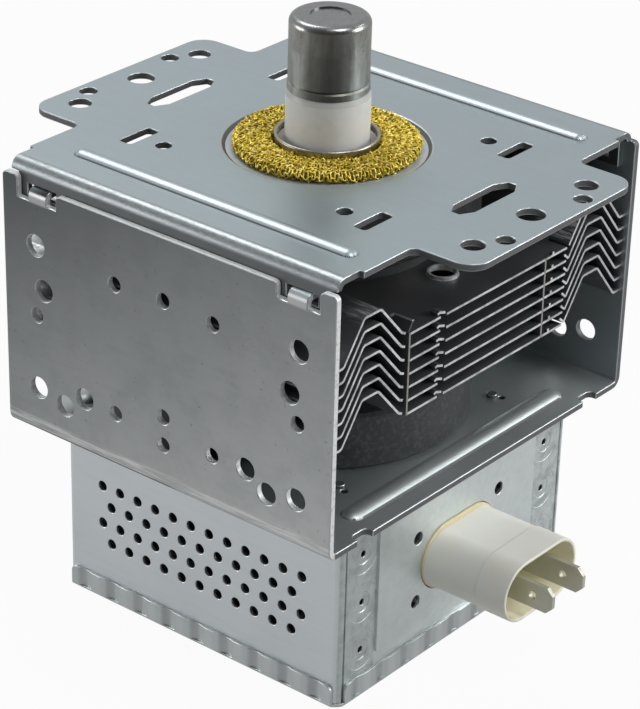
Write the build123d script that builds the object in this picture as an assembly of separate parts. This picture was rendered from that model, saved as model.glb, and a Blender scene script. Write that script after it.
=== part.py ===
from build123d import *
import os

# A microwave-oven magnetron: a steel yoke that holds two ring magnets and an air-cooled
# copper anode, with the antenna on top and a filter box with its power connector below.
# Millimetres. +Z runs up the antenna, +X leaves the open side of the yoke above the
# connector. The origin is on the antenna's axis, on the mounting plate's top face.

# Yoke and mounting plate, folded from one gauge of steel
yoke_length = 71.0
yoke_width = 81.7
yoke_height = 49.3
yoke_sheet = 1.2
yoke_bend = 2.0
side_top_drop = 3.3
side_ear_drop = 2.1
side_notch_drop = 5.9
side_ear_length = 3.3
side_edge_round = 0.9
tab_offset = 27.7
tab_width = 4.0
tab_gap = 2.2
tab_bend = 1.5
tab_reach = 2.6
tab_root_drop = 5.2
relief_offset = 31.6
relief_width = 4.0
relief_depth = 1.6
relief_round = 1.0
yoke_rib_offset = 29.8
yoke_rib_length = 55.2
yoke_rib_width = 4.4
yoke_rib_height = 0.9
yoke_bore = 21.0
boss_x = 22.3
boss_near = 22.1
boss_far = 20.5
boss_dia = 1.9
boss_height = 0.6
boss_hole_dia = 1.3
boss_hole_step = (1.6, 0.7)

ear_margin = 5.4
ear_width = 44.4
ear_corner = 3.8
ear_root = 1.6
flange_depth = 7.0
flange_length = 66.0
fold_setback = 0.9
fold_reach = 5.35
window_width = 6.4
window_top_drop = 3.6
window_height = 2.0
plate_bore = 21.0
dish_dia = 35.4
dish_depth = 0.6
dish_slope = 0.7
rib_offset = 30.8
rib_left = 28.2
rib_right = 31.2
rib_width = 3.2
rib_height = 0.8
rib_thinning = 0.9

# Mounting holes and slots in the plate
mount_hole_dia = 4.8
mount_hole_span = 84.0
corner_hole_dia = 4.0
corner_hole_pitch = 30.8
outer_hole_dia = 3.2
outer_hole_step = 2.7
outer_hole_pitch = 21.0
pilot_hole_dia = 2.8
pilot_hole_x = 19.35
pilot_hole_y = 19.2
slot_x = 25.0
slot_y = 19.0
slot_length = 7.3
slot_width = 2.6
slot_corner = 0.7
vent_slot_x = 32.7
vent_slot_length = 15.4
vent_slot_width = 4.2
vent_slot_cut_long = 2.4
vent_slot_cut_short = 1.3

# Holes in the yoke's side plates: distance from the middle, depth below the plate, size
side_large_dia = 3.9
side_small_dia = 2.7
side_large_holes = [(28.3, 13.7), (26.6, 21.5), (28.3, 40.2), (22.2, 41.5), (17.7, 38.6)]
side_small_holes = [(28.3, 26.5), (10.6, 15.0), (10.6, 38.8)]
side_middle_holes = [(14.4, 2.7), (35.6, 2.7), (40.8, 2.7)]

# Magnets
magnet_dia = 52.6
magnet_bore = 20.0
magnet_edge = 0.6
top_magnet_height = 9.0
bottom_magnet_height = 10.4

# Anode and the sealed tube inside it
anode_dia = 39.0
anode_wall = 2.0
seal_height = 2.1
seal_wall = 0.6
seal_neck_dia = 17.9
vane_count = 10
vane_height = 9.2
vane_thickness = 1.8
vane_tip_dia = 9.2
pole_bore = 10.4
pole_cone_dia = 21.0
pole_sheet = 1.6
pole_tip_gap = 1.0
strap_width = 0.8
strap_inner_dia = 12.6
strap_outer_dia = 16.2
filament_dia = 4.0
filament_wire = 0.5
filament_turns = 6
hat_dia = 6.6
lower_hat_dia = 8.0
hat_thickness = 0.9
lead_dia = 1.5
lead_clear_dia = 2.7
side_lead_offset = 3.4

# Antenna
rim_height = 2.1
ceramic_dia = 14.3
ceramic_bore = 10.6
ceramic_seat = 0.2
ceramic_top = 10.0
cap_dia = 13.7
cap_wall = 0.4
cap_top = 22.8
cap_round = 1.3
cap_bead_dia = 13.9
cap_bead_low = 0.1
cap_bead_high = 1.1
cap_neck_dia = 13.35
cap_neck_high = 1.7
cap_dish_dia = 6.8
cap_dish_depth = 0.25
ceramic_chamfer_high = 0.9
ceramic_chamfer_wide = 0.35
exhaust_disc_margin = 0.15
exhaust_disc = 0.5
exhaust_tube_dia = 4.0
exhaust_tube_bore = 2.6
exhaust_tube_top = 20.2
pinch_height = 2.5
pinch_half_width = 2.4
pinch_half_thickness = 0.5
antenna_lead_dia = 1.8
antenna_lead_foot = 9.9
antenna_lead_bend = 2.0
antenna_lead_knee_drop = 1.2
antenna_lead_crossing = 7.0
pole_pass_dia = 4.2
pole_pass_radius = 9.4
gasket_dia = 32.0
gasket_height = 1.4
gasket_bevel = 0.4
gasket_tuck = 0.85
gasket_clearance = 0.15

# Cooling fins. The slopes of the near end and the far end differ a little
fin_count = 7
fin_sheet = 0.4
fin_pitch = 2.41
fin_top_drop = 16.0
fin_length = 68.9
near_valley_inset = 4.7
near_crest_reach = 2.0
near_shoulder_share = 0.456
near_foot_length = 2.35
far_valley_inset = 3.4
far_crest_reach = 1.7
far_shoulder_share = 0.43
far_foot_length = 1.65
fin_bump = 7.2
fin_foot_rise = 0.35
fin_fold_round = 0.9
fin_collar_height = 1.4
fin_collar_wall = 0.5
fin_press_fit = 0.05
fin_port_x = 25.2
fin_port_dia = 4.6
fin_port_wall = 0.35
fin_port_rise = 0.6

# Lanced details along each fin's front edge: steps from the valleys, heights above its middle
lance_depth = 4.0
near_lance_step = 1.1
near_lance_rise = 1.0
near_lip_step = 0.2
near_lip_rise = 0.6
near_spacer_step = 1.0
far_level_step = 0.45
far_root_step = 0.2
far_root_rise = 0.3
far_tip_step = 1.05
far_tip_rise = 1.35
far_spacer_place = 16.4
nib_points = [(-13.4, 0.75), (-12.9, 0.95), (-11.4, 0.45), (-10.8, 0.0)]
nib_depth = 1.6
nib_gap = (-12.6, -10.9)
nib_setback = 0.5
tick_place = 18.5
tick_size = 0.5
lug_back = 30.2
lug_front = 34.1
lug_lean = 1.2
lug_return = 1.4

# Filter box and its cover
box_length = 61.6
box_width = 63.4
box_sheet = 0.6
box_corner = 1.3
box_depth = 34.6
cover_lip = 4.1
cover_sheet = 0.6
cover_gap = 1.9
cover_corner = 3.0
cover_short_gap = 3.0
cover_lip_corner = 1.2
cover_edge_ease = 0.3
crimp_count = 9
crimp_width = 3.0
crimp_depth = 0.3
panel_half_width = 21.9
panel_rise = 0.5
panel_foot = 6.2
seam_width = 0.5
clinch_offset = 25.5
clinch_pitch = 9.4
clinch_ring_dia = 7.4
clinch_ring_depth = 0.07
clinch_dia = 3.9
clinch_depth = 0.16
clinch_pit_dia = 1.2
vent_dia = 1.9
vent_pitch = 4.1
vent_row_pitch = 3.7
vent_counts = [12, 11, 12, 11]
vent_first_row = 11.9
connector_hole_x = 11.4
connector_hole_z = 6.3
connector_hole_dia = 2.4

# Power connector, a feed-through capacitor in a moulded housing
connector_drop = 16.4
socket_half_span = 4.75
body_dia = 10.8
body_reach = 11.3
shroud_dia = 11.2
shroud_reach = 17.6
shroud_wall = 0.6
shroud_depth = 10.5
collar_dia = 12.4
collar_half_span = 4.0
collar_proud = 0.35
connector_fit = 0.15
inner_body_reach = 11.0
ground_plate_sheet = 0.8
ground_plate_margin = 2.2
ground_plate_corner = 5.9
blade_offset = 4.4
blade_width = 4.8
blade_thickness = 0.8
blade_reach = 23.4
blade_chamfer = 1.2
blade_hole_dia = 1.5
blade_hole_back = 4.1
stud_dia = 1.6
stud_length = 4.0

# Choke coils in the filter box
coil_dia = 7.2
coil_wire = 1.2
coil_turns = 5
coil_pitch = 1.9
coil_start_gap = 1.0
core_dia = 4.2
core_overhang = 1.0

# Cathode stem
stem_dia = 13.0
stem_length = 9.0
stem_foot_drop = 11.7
stem_neck_drop = 4.7
stem_pin_drop = 2.2

# Worked out from the sizes above
half_length = yoke_length / 2
half_width = yoke_width / 2
flange_face = half_width - yoke_sheet
ear_span = mount_hole_span + 2 * ear_margin
outer_hole_span = mount_hole_span + 2 * outer_hole_step
fold_start = 2 * (flange_face - fold_reach)
yoke_floor = -yoke_height + yoke_sheet
magnet_top = -yoke_sheet - dish_depth
seal_top = magnet_top - top_magnet_height
seal_foot = yoke_floor + bottom_magnet_height
anode_top = seal_top - seal_height
anode_foot = seal_foot + seal_height
anode_middle = (anode_top + anode_foot) / 2
anode_bore = anode_dia - 2 * anode_wall
vane_top = anode_middle + vane_height / 2
box_top = -yoke_height
box_foot = box_top - box_depth + cover_sheet
cover_foot = box_foot - cover_sheet
connector_z = box_top - connector_drop
wall_face = box_length / 2 + panel_rise
wall_inner = wall_face - box_sheet
stem_foot = box_top - stem_foot_drop
stem_neck = box_top - stem_neck_drop
magnet_rim = magnet_dia / 2
near_valley = magnet_rim - near_valley_inset
near_crest = magnet_rim + near_crest_reach
near_foot = flange_face - near_foot_length
near_shoulder = near_crest + near_shoulder_share * (near_foot - near_crest)
far_valley = magnet_rim - far_valley_inset
far_crest = magnet_rim + far_crest_reach
far_foot = flange_face - far_foot_length
far_shoulder = far_crest + far_shoulder_share * (far_foot - far_crest)
near_spacer_place = near_spacer_step - near_valley


def both_ways(places):
    # Repeats each place on the two sides of the middle.
    return [(side * x, z) for side in (-1, 1) for x, z in places]


def four_corners(x, y):
    # The four mirror images of one place on the plate.
    return [(sx * x, sy * y) for sx in (-1, 1) for sy in (-1, 1)]


def turned(points):
    # A body of revolution about the antenna's axis, from (radius, height) points.
    outline = Plane.XZ * make_face(Polyline(*points, close=True))
    return revolve(outline, Axis.Z)


def ring(outer_dia, inner_dia, low, high):
    # A plain ring between two heights.
    face = Circle(outer_dia / 2) - Circle(inner_dia / 2)
    return extrude(Plane.XY.offset(low) * face, high - low)


def rod(dia, low, high, x=0.0, y=0.0):
    # An upright round bar.
    return extrude(Plane.XY.offset(low) * Pos(x, y) * Circle(dia / 2), high - low)


def capsule(start, end, radius):
    # A bar with ball ends between two points.
    run = end - start
    bar = extrude(Plane(origin=start, z_dir=run.normalized()) * Circle(radius), run.length)
    return bar + Pos(start) * Sphere(radius) + Pos(end) * Sphere(radius)


def pressed_rib(sheet, start, end, width, height, gauge):
    # Presses a round-backed rib up out of a flat sheet whose top face is at the points' height.
    radius = (width**2 / 4 + height**2) / (2 * height)
    sunk = Vector(0, 0, height - radius)
    low = Vector(*start) + sunk
    high = Vector(*end) + sunk
    ridge = capsule(low, high, radius)
    groove = capsule(low, high, radius - gauge * rib_thinning)
    top = start[2]
    span = Vector(*end) - Vector(*start)
    reach = span.length / 2 + 2 * radius
    middle = (Vector(*start) + Vector(*end)) * 0.5
    keep = Pos(middle.X, middle.Y, top + radius / 2) * Box(2 * reach, 2 * reach, radius)
    floor = Pos(middle.X, middle.Y, top - gauge) * Box(2 * reach, 2 * reach, 2 * gauge)
    return sheet + (ridge & keep) - (groove & (keep + floor))


def folded_channel(width, low, high, bend, gauge, length, opens_up):
    # A sheet folded to a channel along X, its web at one height and its legs up or down.
    tall = 2 * (high - low)
    middle = high if opens_up else low
    outer = Pos(0, middle) * RectangleRounded(width, tall, bend)
    inner = Pos(0, middle) * RectangleRounded(width - 2 * gauge, tall - 2 * gauge, bend - gauge)
    half = Pos(0, (low + high) / 2) * Rectangle(width, high - low)
    section = (outer - inner) & half
    return extrude(Plane.YZ * section, length / 2, both=True)


def side_pair(sketch, outer_face, gauge):
    # Raises a sketch, drawn along X and Z, into both upright side plates.
    near = extrude(Plane.XZ.offset(outer_face) * sketch, -gauge)
    return near + mirror(near, Plane.XZ)


def plate_outline():
    # The flat of the mounting plate with its two rounded ears.
    body = Rectangle(yoke_length, fold_start)
    ears = Rectangle(ear_span, ear_width)
    flat = body + ears
    tips = flat.vertices().filter_by(lambda v: abs(abs(v.X) - ear_span / 2) < 0.01)
    flat = fillet(tips, ear_corner)
    roots = flat.vertices().filter_by(
        lambda v: abs(abs(v.X) - half_length) < 0.01 and abs(abs(v.Y) - ear_width / 2) < 0.01
    )
    return fillet(roots, ear_root)


def vent_slot():
    # The long slot with cut corners at the root of each ear.
    long_half = vent_slot_length / 2
    wide_half = vent_slot_width / 2
    points = [
        (wide_half, long_half - vent_slot_cut_long),
        (wide_half - vent_slot_cut_short, long_half),
        (-wide_half + vent_slot_cut_short, long_half),
        (-wide_half, long_half - vent_slot_cut_long),
    ]
    points += [(-x, -y) for x, y in points]
    return make_face(Polyline(*points, close=True))


def plate_holes():
    # Every hole and slot that goes through the mounting plate.
    holes = Sketch()
    for side in (-1, 1):
        holes += Pos(side * mount_hole_span / 2, 0) * Circle(mount_hole_dia / 2)
        holes += Pos(side * vent_slot_x, 0) * vent_slot()
    for x, y in four_corners(mount_hole_span / 2, corner_hole_pitch / 2):
        holes += Pos(x, y) * Circle(corner_hole_dia / 2)
    for x, y in four_corners(outer_hole_span / 2, outer_hole_pitch / 2):
        holes += Pos(x, y) * Circle(outer_hole_dia / 2)
    for x, y in four_corners(pilot_hole_x, pilot_hole_y):
        holes += Pos(x, y) * Circle(pilot_hole_dia / 2)
    for x, y in four_corners(slot_x, slot_y):
        holes += Pos(x, y) * RectangleRounded(slot_width, slot_length, slot_corner)
    return holes


def mounting_plate():
    # Upper half of the yoke: flat plate with ears, pressed ribs, a dish for the gasket,
    # and edges folded down inside the side plates.
    folds = folded_channel(
        2 * flange_face, -flange_depth, 0, yoke_bend, yoke_sheet,
        yoke_length - 2 * fold_setback, opens_up=False,
    )
    plate = folds + extrude(plate_outline(), -yoke_sheet)
    trim = (yoke_length - flange_length) / 2
    for sx, sy in four_corners(1, 1):
        corner = Box(trim, 2 * yoke_bend, flange_depth)
        at = Pos(sx * (half_length - trim / 2), sy * flange_face, -yoke_bend - flange_depth / 2)
        plate -= at * corner
        window = Box(window_width, 4 * yoke_sheet, window_height)
        middle = -window_top_drop - window_height / 2
        plate -= Pos(sx * tab_offset, sy * flange_face, middle) * window
    plate -= extrude(plate_holes(), -yoke_sheet)
    dish_top = dish_dia / 2
    dish_floor = dish_top - dish_slope
    outside = dish_top + yoke_sheet
    plate -= rod(2 * outside, -yoke_sheet, 0)
    plate += turned([
        (plate_bore / 2, -dish_depth), (dish_floor, -dish_depth), (dish_top, 0), (outside, 0),
        (outside, -yoke_sheet), (dish_top + dish_slope / 2, -yoke_sheet),
        (dish_floor + dish_slope / 2, -yoke_sheet - dish_depth),
        (plate_bore / 2, -yoke_sheet - dish_depth),
    ])
    for side in (-1, 1):
        start = (-rib_left + rib_width / 2, side * rib_offset, 0)
        end = (rib_right - rib_width / 2, side * rib_offset, 0)
        plate = pressed_rib(plate, start, end, rib_width, rib_height, yoke_sheet)
    return plate


def rounded_step(x_low, x_high, top, foot):
    # One upright piece of the side plate's top edge, with both upper corners eased.
    piece = Pos((x_low + x_high) / 2, (top + foot) / 2) * Rectangle(x_high - x_low, top - foot)
    corners = piece.vertices().filter_by(lambda v: abs(v.Y - top) < 0.01)
    return fillet(corners, side_edge_round)


def side_top_edge(foot):
    # Corner ears, notches, tab roots and the lower middle edge of a side plate.
    notch_inner = tab_offset - tab_width / 2 - tab_gap
    edge = rounded_step(-notch_inner, notch_inner, -side_top_drop, foot)
    edge += Pos(0, (foot - side_notch_drop) / 2) * Rectangle(yoke_length, -side_notch_drop - foot)
    for side in (-1, 1):
        ear_low, ear_high = sorted((side * (half_length - side_ear_length), side * half_length))
        edge += rounded_step(ear_low, ear_high, -side_ear_drop, foot)
        root = Rectangle(tab_width, -tab_root_drop - foot)
        edge += Pos(side * tab_offset, (foot - tab_root_drop) / 2) * root
    return edge


def crimp_tab():
    # A tab folded inwards through the window of the plate's flange, for the -Y side.
    corner = Pos(-half_width + tab_bend, -tab_root_drop)
    bend = corner * (Circle(tab_bend) - Circle(tab_bend - yoke_sheet))
    bend &= corner * Pos(-tab_bend / 2, tab_bend / 2) * Rectangle(tab_bend, tab_bend)
    reach = corner * Pos(tab_reach / 2, tab_bend - yoke_sheet / 2) * Rectangle(tab_reach, yoke_sheet)
    return extrude(Plane.YZ * (bend + reach), tab_width / 2, both=True)


def side_holes():
    # Drillings shared by both side plates.
    holes = Sketch()
    for x, drop in both_ways(side_large_holes):
        holes += Pos(x, -drop) * Circle(side_large_dia / 2)
    for x, drop in both_ways(side_small_holes):
        holes += Pos(x, -drop) * Circle(side_small_dia / 2)
    for drop, dia in side_middle_holes:
        holes += Pos(0, -drop) * Circle(dia / 2)
    return holes


def lower_yoke():
    # Lower half of the yoke: floor plate and two side plates folded from one sheet.
    leg_top = -side_notch_drop - side_edge_round
    yoke = folded_channel(
        yoke_width, -yoke_height, leg_top, yoke_bend, yoke_sheet, yoke_length, opens_up=True
    )
    yoke += side_pair(side_top_edge(leg_top), half_width, yoke_sheet)
    tab = crimp_tab()
    tabs = tab + mirror(tab, Plane.XZ)
    for side in (-1, 1):
        yoke += Pos(side * tab_offset, 0, 0) * tabs
    yoke -= extrude(Plane.XZ * side_holes(), half_width, both=True)
    low, high = -yoke_height, yoke_floor
    yoke -= rod(yoke_bore, low, high)
    step_x, step_y = boss_hole_step
    for side in (-1, 1):
        for end, offset in ((-1, boss_near), (1, boss_far)):
            yoke -= rod(boss_hole_dia, low, high, side * (boss_x + step_x), end * (offset + step_y))
            yoke += rod(boss_dia, high, high + boss_height, side * boss_x, end * offset)
    relief = Rectangle(2 * relief_depth, relief_width)
    relief = fillet(relief.vertices(), relief_round)
    for sx, sy in four_corners(1, 1):
        yoke -= extrude(
            Plane.XY.offset(low) * Pos(sx * half_length, sy * relief_offset) * relief, yoke_sheet
        )
    for side in (-1, 1):
        start = (side * yoke_rib_offset, -yoke_rib_length / 2, high)
        end = (side * yoke_rib_offset, yoke_rib_length / 2, high)
        yoke = pressed_rib(yoke, start, end, yoke_rib_width, yoke_rib_height, yoke_sheet)
    return yoke


def ring_magnet(low, height):
    # A ferrite ring with eased edges.
    outer, inner, ease = magnet_dia / 2, magnet_bore / 2, magnet_edge
    high = low + height
    return turned([
        (inner, low + ease), (inner + ease, low), (outer - ease, low), (outer, low + ease),
        (outer, high - ease), (outer - ease, high), (inner + ease, high), (inner, high - ease),
    ])


def upside_down(piece):
    # Mirrors a piece of the tube from above the anode's middle to below it.
    return mirror(piece, Plane.XY.offset(anode_middle))


def anode_cylinder():
    # Copper cylinder with its radial vanes, brazed as one.
    body = ring(anode_dia, anode_bore, anode_foot, anode_top)
    length = (anode_bore - vane_tip_dia) / 2 + anode_wall / 2
    blade = Box(length, vane_thickness, vane_height)
    for turn in range(vane_count):
        at = Rot(0, 0, turn * 360 / vane_count)
        body += at * Pos(vane_tip_dia / 2 + length / 2, 0, anode_middle) * blade
    bore = rod(vane_tip_dia, anode_foot, anode_top)
    return body - bore


def pole_piece():
    # Upper steel pole piece: a funnel that leads the field to the space round the cathode.
    rim_low = anode_top - pole_sheet
    tip = vane_top + pole_tip_gap
    rim, cone, bore = anode_bore / 2, pole_cone_dia / 2, pole_bore / 2
    return turned([
        (bore, tip), (bore + pole_sheet, tip), (cone + pole_sheet / 2, rim_low), (rim, rim_low),
        (rim, anode_top), (cone, anode_top), (bore, tip + pole_sheet),
    ])


def seal_cup():
    # Upper thin metal seal: a cup on the anode's end whose neck passes the magnet.
    wide, neck, wall = anode_dia / 2, seal_neck_dia / 2, seal_wall
    return [
        (wide - wall, anode_top), (wide, anode_top), (wide, seal_top), (neck, seal_top),
    ], [(neck - wall, seal_top - wall), (wide - wall, seal_top - wall)]


def antenna_seal():
    # The upper cup, with a dished rim above the plate that carries the ceramic.
    outside, inside = seal_cup()
    neck, wall = seal_neck_dia / 2, seal_wall
    seat = ceramic_seat
    return turned(outside + [
        (neck, rim_height), (neck - wall, rim_height), (neck - wall, seat + wall),
        (ceramic_dia / 2 + wall / 2, seat), (ceramic_bore / 2, seat),
        (ceramic_bore / 2, seat - wall), (neck - wall, seat - wall),
    ] + inside)


def stem_seal():
    # The lower cup, whose neck carries the ceramic stem inside the filter box.
    outside, inside = seal_cup()
    neck, wall = seal_neck_dia / 2, seal_wall
    end = 2 * anode_middle - stem_neck
    lip = stem_dia / 2 - wall
    cup = turned(outside + [(neck, end), (lip, end), (lip, end - wall), (neck - wall, end - wall)] + inside)
    return upside_down(cup)


def strap_rings():
    # Two rings on each end of the vanes.
    rings = Part()
    for inner in (strap_inner_dia, strap_outer_dia):
        upper = ring(inner + 2 * strap_width, inner, vane_top, vane_top + strap_width)
        rings += [upper, upside_down(upper)]
    return rings


def helix_wire(radius, wire, pitch, turns):
    # A square wire wound along Z from the origin.
    path = Helix(pitch, pitch * turns, radius)
    section = Plane(origin=path @ 0, z_dir=path % 0) * Rectangle(wire, wire)
    return sweep(section, path, is_frenet=True)


def cathode_filament():
    # The wound tungsten wire between the end hats.
    height = vane_height - filament_wire
    pitch = height / filament_turns
    coil = helix_wire((filament_dia - filament_wire) / 2, filament_wire, pitch, filament_turns)
    return Pos(0, 0, anode_middle - height / 2) * coil


def upper_end_hat():
    # Disc that closes the filament's top, on the centre lead.
    low = anode_middle + vane_height / 2
    return ring(hat_dia, lead_dia, low, low + hat_thickness)


def lower_end_hat():
    # Disc below the filament, with a clear hole for the centre lead.
    high = anode_middle - vane_height / 2
    return ring(lower_hat_dia, lead_clear_dia, high - hat_thickness, high)


def centre_lead():
    # Straight lead through the filament to the stem's first pin.
    return rod(lead_dia, stem_foot - stem_pin_drop, vane_top + hat_thickness)


def side_lead():
    # Lead from the lower hat to the stem's second pin.
    high = anode_middle - vane_height / 2 - hat_thickness
    return rod(lead_dia, stem_foot - stem_pin_drop, high, 0, side_lead_offset)


def stem_ceramic():
    # Ceramic plug that closes the tube and holds the two leads.
    high = stem_foot + stem_length
    body = rod(stem_dia, stem_foot, stem_neck) + rod(stem_dia - 2 * seal_wall, stem_neck, high)
    body -= rod(lead_dia, stem_foot, high)
    return body - rod(lead_dia, stem_foot, high, 0, side_lead_offset)


def output_ceramic():
    # White ceramic ring between the seal and the antenna cap, tapered to the cap's foot.
    outer, inner = ceramic_dia / 2, ceramic_bore / 2
    return turned([
        (inner, ceramic_seat), (outer, ceramic_seat), (outer, ceramic_top - ceramic_chamfer_high),
        (outer - ceramic_chamfer_wide, ceramic_top), (inner, ceramic_top),
    ])


def exhaust_seal():
    # Thin disc brazed on the ceramic, with the exhaust tube through it.
    outer = cap_neck_dia - 2 * cap_wall - 2 * exhaust_disc_margin
    return ring(outer, exhaust_tube_dia, ceramic_top, ceramic_top + exhaust_disc)


def exhaust_tube():
    # Copper tube with its end pinched shut over the lead.
    pinch = exhaust_tube_top - pinch_height
    body = ring(exhaust_tube_dia, exhaust_tube_bore, ceramic_top, pinch)
    base = Plane.XY.offset(pinch) * Circle(exhaust_tube_dia / 2)
    edge = Plane.XY.offset(exhaust_tube_top) * Ellipse(pinch_half_width, pinch_half_thickness)
    return body + loft([base, edge])


def antenna_lead():
    # Copper rod from a vane, through the upper pole piece, to the exhaust tube.
    path = FilletPolyline(
        (antenna_lead_foot, 0, vane_top),
        (antenna_lead_foot, 0, anode_top - antenna_lead_knee_drop),
        (0, 0, anode_top + antenna_lead_crossing),
        (0, 0, exhaust_tube_top - pinch_height),
        radius=antenna_lead_bend,
    )
    return sweep(Plane(origin=path @ 0, z_dir=path % 0) * Circle(antenna_lead_dia / 2), path)


def antenna_cap():
    # Drawn metal cap with a rounded crown, a shallow dish, a neck and a rolled lower edge.
    bead, neck, bore = cap_bead_dia / 2, cap_neck_dia / 2, cap_neck_dia / 2 - cap_wall
    foot, top = ceramic_top, cap_top
    straight = foot + cap_neck_high
    shell = rod(cap_dia, straight, top)
    shell = fillet(shell.edges().sort_by(Axis.Z)[-1], cap_round)
    skirt = turned([
        (bore, foot), (bead - cap_bead_low, foot), (bead, foot + cap_bead_low),
        (bead, foot + cap_bead_high), (neck, (foot + cap_bead_high + straight) / 2),
        (cap_dia / 2, straight), (bore, straight),
    ])
    hollow = rod(2 * bore, foot, top - cap_wall)
    hollow = fillet(hollow.edges().sort_by(Axis.Z)[-1], cap_round - cap_wall)
    dish = rod(cap_dish_dia, top - cap_dish_depth, top)
    return shell + skirt - hollow - dish


def rf_gasket():
    # Ring of knitted wire in the plate's dish round the antenna's seal.
    low, high = -dish_depth, gasket_height - dish_depth
    inner, outer, bevel = seal_neck_dia / 2 + gasket_clearance, gasket_dia / 2, gasket_bevel
    return turned([
        (inner, low), (outer - gasket_tuck, low), (outer, low + gasket_tuck),
        (outer, high - bevel), (outer - bevel, high), (inner + bevel, high), (inner, high - bevel),
    ])


def fin_near_end(middle):
    # Folded line of a fin's -Y end, from the side plate down the inner slope's top.
    return [
        (-flange_face, middle + fin_foot_rise), (-near_foot, middle + fin_foot_rise),
        (-near_shoulder, middle + fin_bump), (-near_crest, middle + fin_bump),
    ]


def fin_far_end(middle):
    # Folded line of a fin's +Y end, from the inner slope's top out to the side plate.
    return [
        (far_crest, middle + fin_bump), (far_shoulder, middle + fin_bump),
        (far_foot, middle + fin_foot_rise), (flange_face, middle + fin_foot_rise),
    ]


def folded_sheet(points, low, high):
    # A fin's sheet that follows (across, height) points between two distances along X.
    if len(points) > 3:
        line = FilletPolyline(*points, radius=fin_fold_round)
    else:
        line = Polyline(*points)
    return extrude(Plane.YZ.offset(low) * trace(line, fin_sheet), high - low)


def fin_body(middle):
    # The whole fold behind the lanced front strip.
    front = fin_length / 2
    valleys = [(-near_valley, middle), (far_valley, middle)]
    points = fin_near_end(middle) + valleys + fin_far_end(middle)
    return folded_sheet(points, -front, front - lance_depth)


def lanced_strip(middle, hooked):
    # The front strip, parted at the foot of each inner slope, where its ends turn off the level.
    front = fin_length / 2
    back = front - lance_depth
    near = fin_near_end(middle) + [
        (-near_valley - near_lance_step, middle + near_lance_rise),
        (-near_valley - near_lip_step, middle + near_lip_rise),
    ]
    strip = folded_sheet(near, back, front)
    level = [(near_spacer_place - fin_sheet / 2, middle), (far_valley - far_level_step, middle)]
    strip += folded_sheet(level, back, front)
    far = [(far_valley + far_root_step, middle + far_root_rise)] + fin_far_end(middle)
    strip += folded_sheet(far, back, front)
    if hooked:
        hook = [(far_valley - far_tip_step, middle + far_tip_rise), far[0]]
        strip += folded_sheet(hook, back, front)
    return strip


def spacer_tab(place, middle):
    # A tab that stands up to the fin above.
    tall = fin_pitch - fin_sheet
    at = Pos(fin_length / 2 - lance_depth / 2, place, middle + fin_pitch / 2)
    return at * Box(lance_depth, fin_sheet, tall)


def leaning_lug(middle):
    # The top fin's free tab, leaning, with its back end turned.
    foot = near_spacer_place
    top = middle + fin_pitch - fin_sheet
    lug = folded_sheet([(foot, middle), (foot + lug_lean, top)], lug_back, lug_front)
    turned_end = Box(fin_sheet, lug_return, top - middle)
    at = Pos(lug_back + fin_sheet / 2, foot + lug_lean - lug_return / 2, (top + middle) / 2)
    return lug + at * turned_end


def lanced_nib(fin, middle):
    # Parts the sheet's front edge and lifts one narrow nib out of it.
    front = fin_length / 2
    start, end = nib_gap
    gap = Box(nib_depth, end - start, 2 * fin_sheet)
    fin -= Pos(front - nib_depth / 2, (start + end) / 2, middle) * gap
    line = Polyline(*[(y, middle + rise) for y, rise in nib_points])
    nib = extrude(Plane.YZ.offset(front - nib_depth) * trace(line, fin_sheet), nib_depth)
    root = nib_points[-2][0]
    notch = Box(nib_setback, end - root, fin_pitch)
    return fin + (nib - Pos(front - nib_setback / 2, (root + end) / 2, middle) * notch)


def cooling_fin(level, top_fin):
    # One aluminium fin pressed over the anode, with bumps whose feet reach both side plates
    # and a rimmed port in its level part.
    front = fin_length / 2
    middle = level - fin_sheet / 2
    fin = fin_body(middle) + lanced_strip(middle, not top_fin)
    fin = lanced_nib(fin, middle)
    if top_fin:
        fin += leaning_lug(middle)
    else:
        for place in (near_spacer_place, far_spacer_place):
            fin += spacer_tab(place, middle)
    tick = Box(tick_size, tick_size, tick_size)
    fin += Pos(front - tick_size / 2, tick_place, level + tick_size / 2) * tick
    hole = anode_dia + 2 * fin_press_fit
    collar_top = level + fin_collar_height
    fin += ring(hole + 2 * fin_collar_wall, hole, level - fin_sheet, collar_top)
    port_low, port_high = level - fin_sheet, level + fin_port_rise
    fin += rod(fin_port_dia + 2 * fin_port_wall, port_low, port_high, fin_port_x)
    fin -= rod(fin_port_dia, port_low, port_high, fin_port_x)
    return fin - rod(hole, level - fin_sheet, collar_top)


def clinch_dent():
    # A wide shallow dent, a deeper one in it and a small pit through, down from the origin.
    wide, narrow, pit = clinch_ring_dia / 2, clinch_dia / 2, clinch_pit_dia / 2
    ring_low, low = -clinch_ring_depth, -clinch_ring_depth - clinch_depth
    return turned([
        (0, 0), (wide, 0), (wide - clinch_ring_depth, ring_low), (narrow, ring_low),
        (narrow - clinch_depth, low), (pit, low), (pit, -box_sheet), (0, -box_sheet),
    ])


def wall_clinches():
    # Pierced dimples that join the box's overlapping walls on the +X and -X faces.
    cuts = Part()
    face = box_length / 2
    for sx in (-1, 1):
        for sy in (-1, 1):
            for step in (-1, 0, 1):
                at = Pos(sx * face, sy * clinch_offset, connector_z + step * clinch_pitch) * Rot(0, sx * 90, 0)
                cuts += at * clinch_dent()
    return cuts


def vent_rows():
    # Staggered rows of round vents in the -Y wall.
    vents = Sketch()
    for row, count in enumerate(vent_counts):
        height = box_top - vent_first_row - row * vent_row_pitch
        for place in range(count):
            vents += Pos((place - (count - 1) / 2) * vent_pitch, height) * Circle(vent_dia / 2)
    return vents


def obround(dia):
    # Outline of the connector's moulding, long way along Y.
    return SlotCenterToCenter(2 * socket_half_span, dia)


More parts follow.
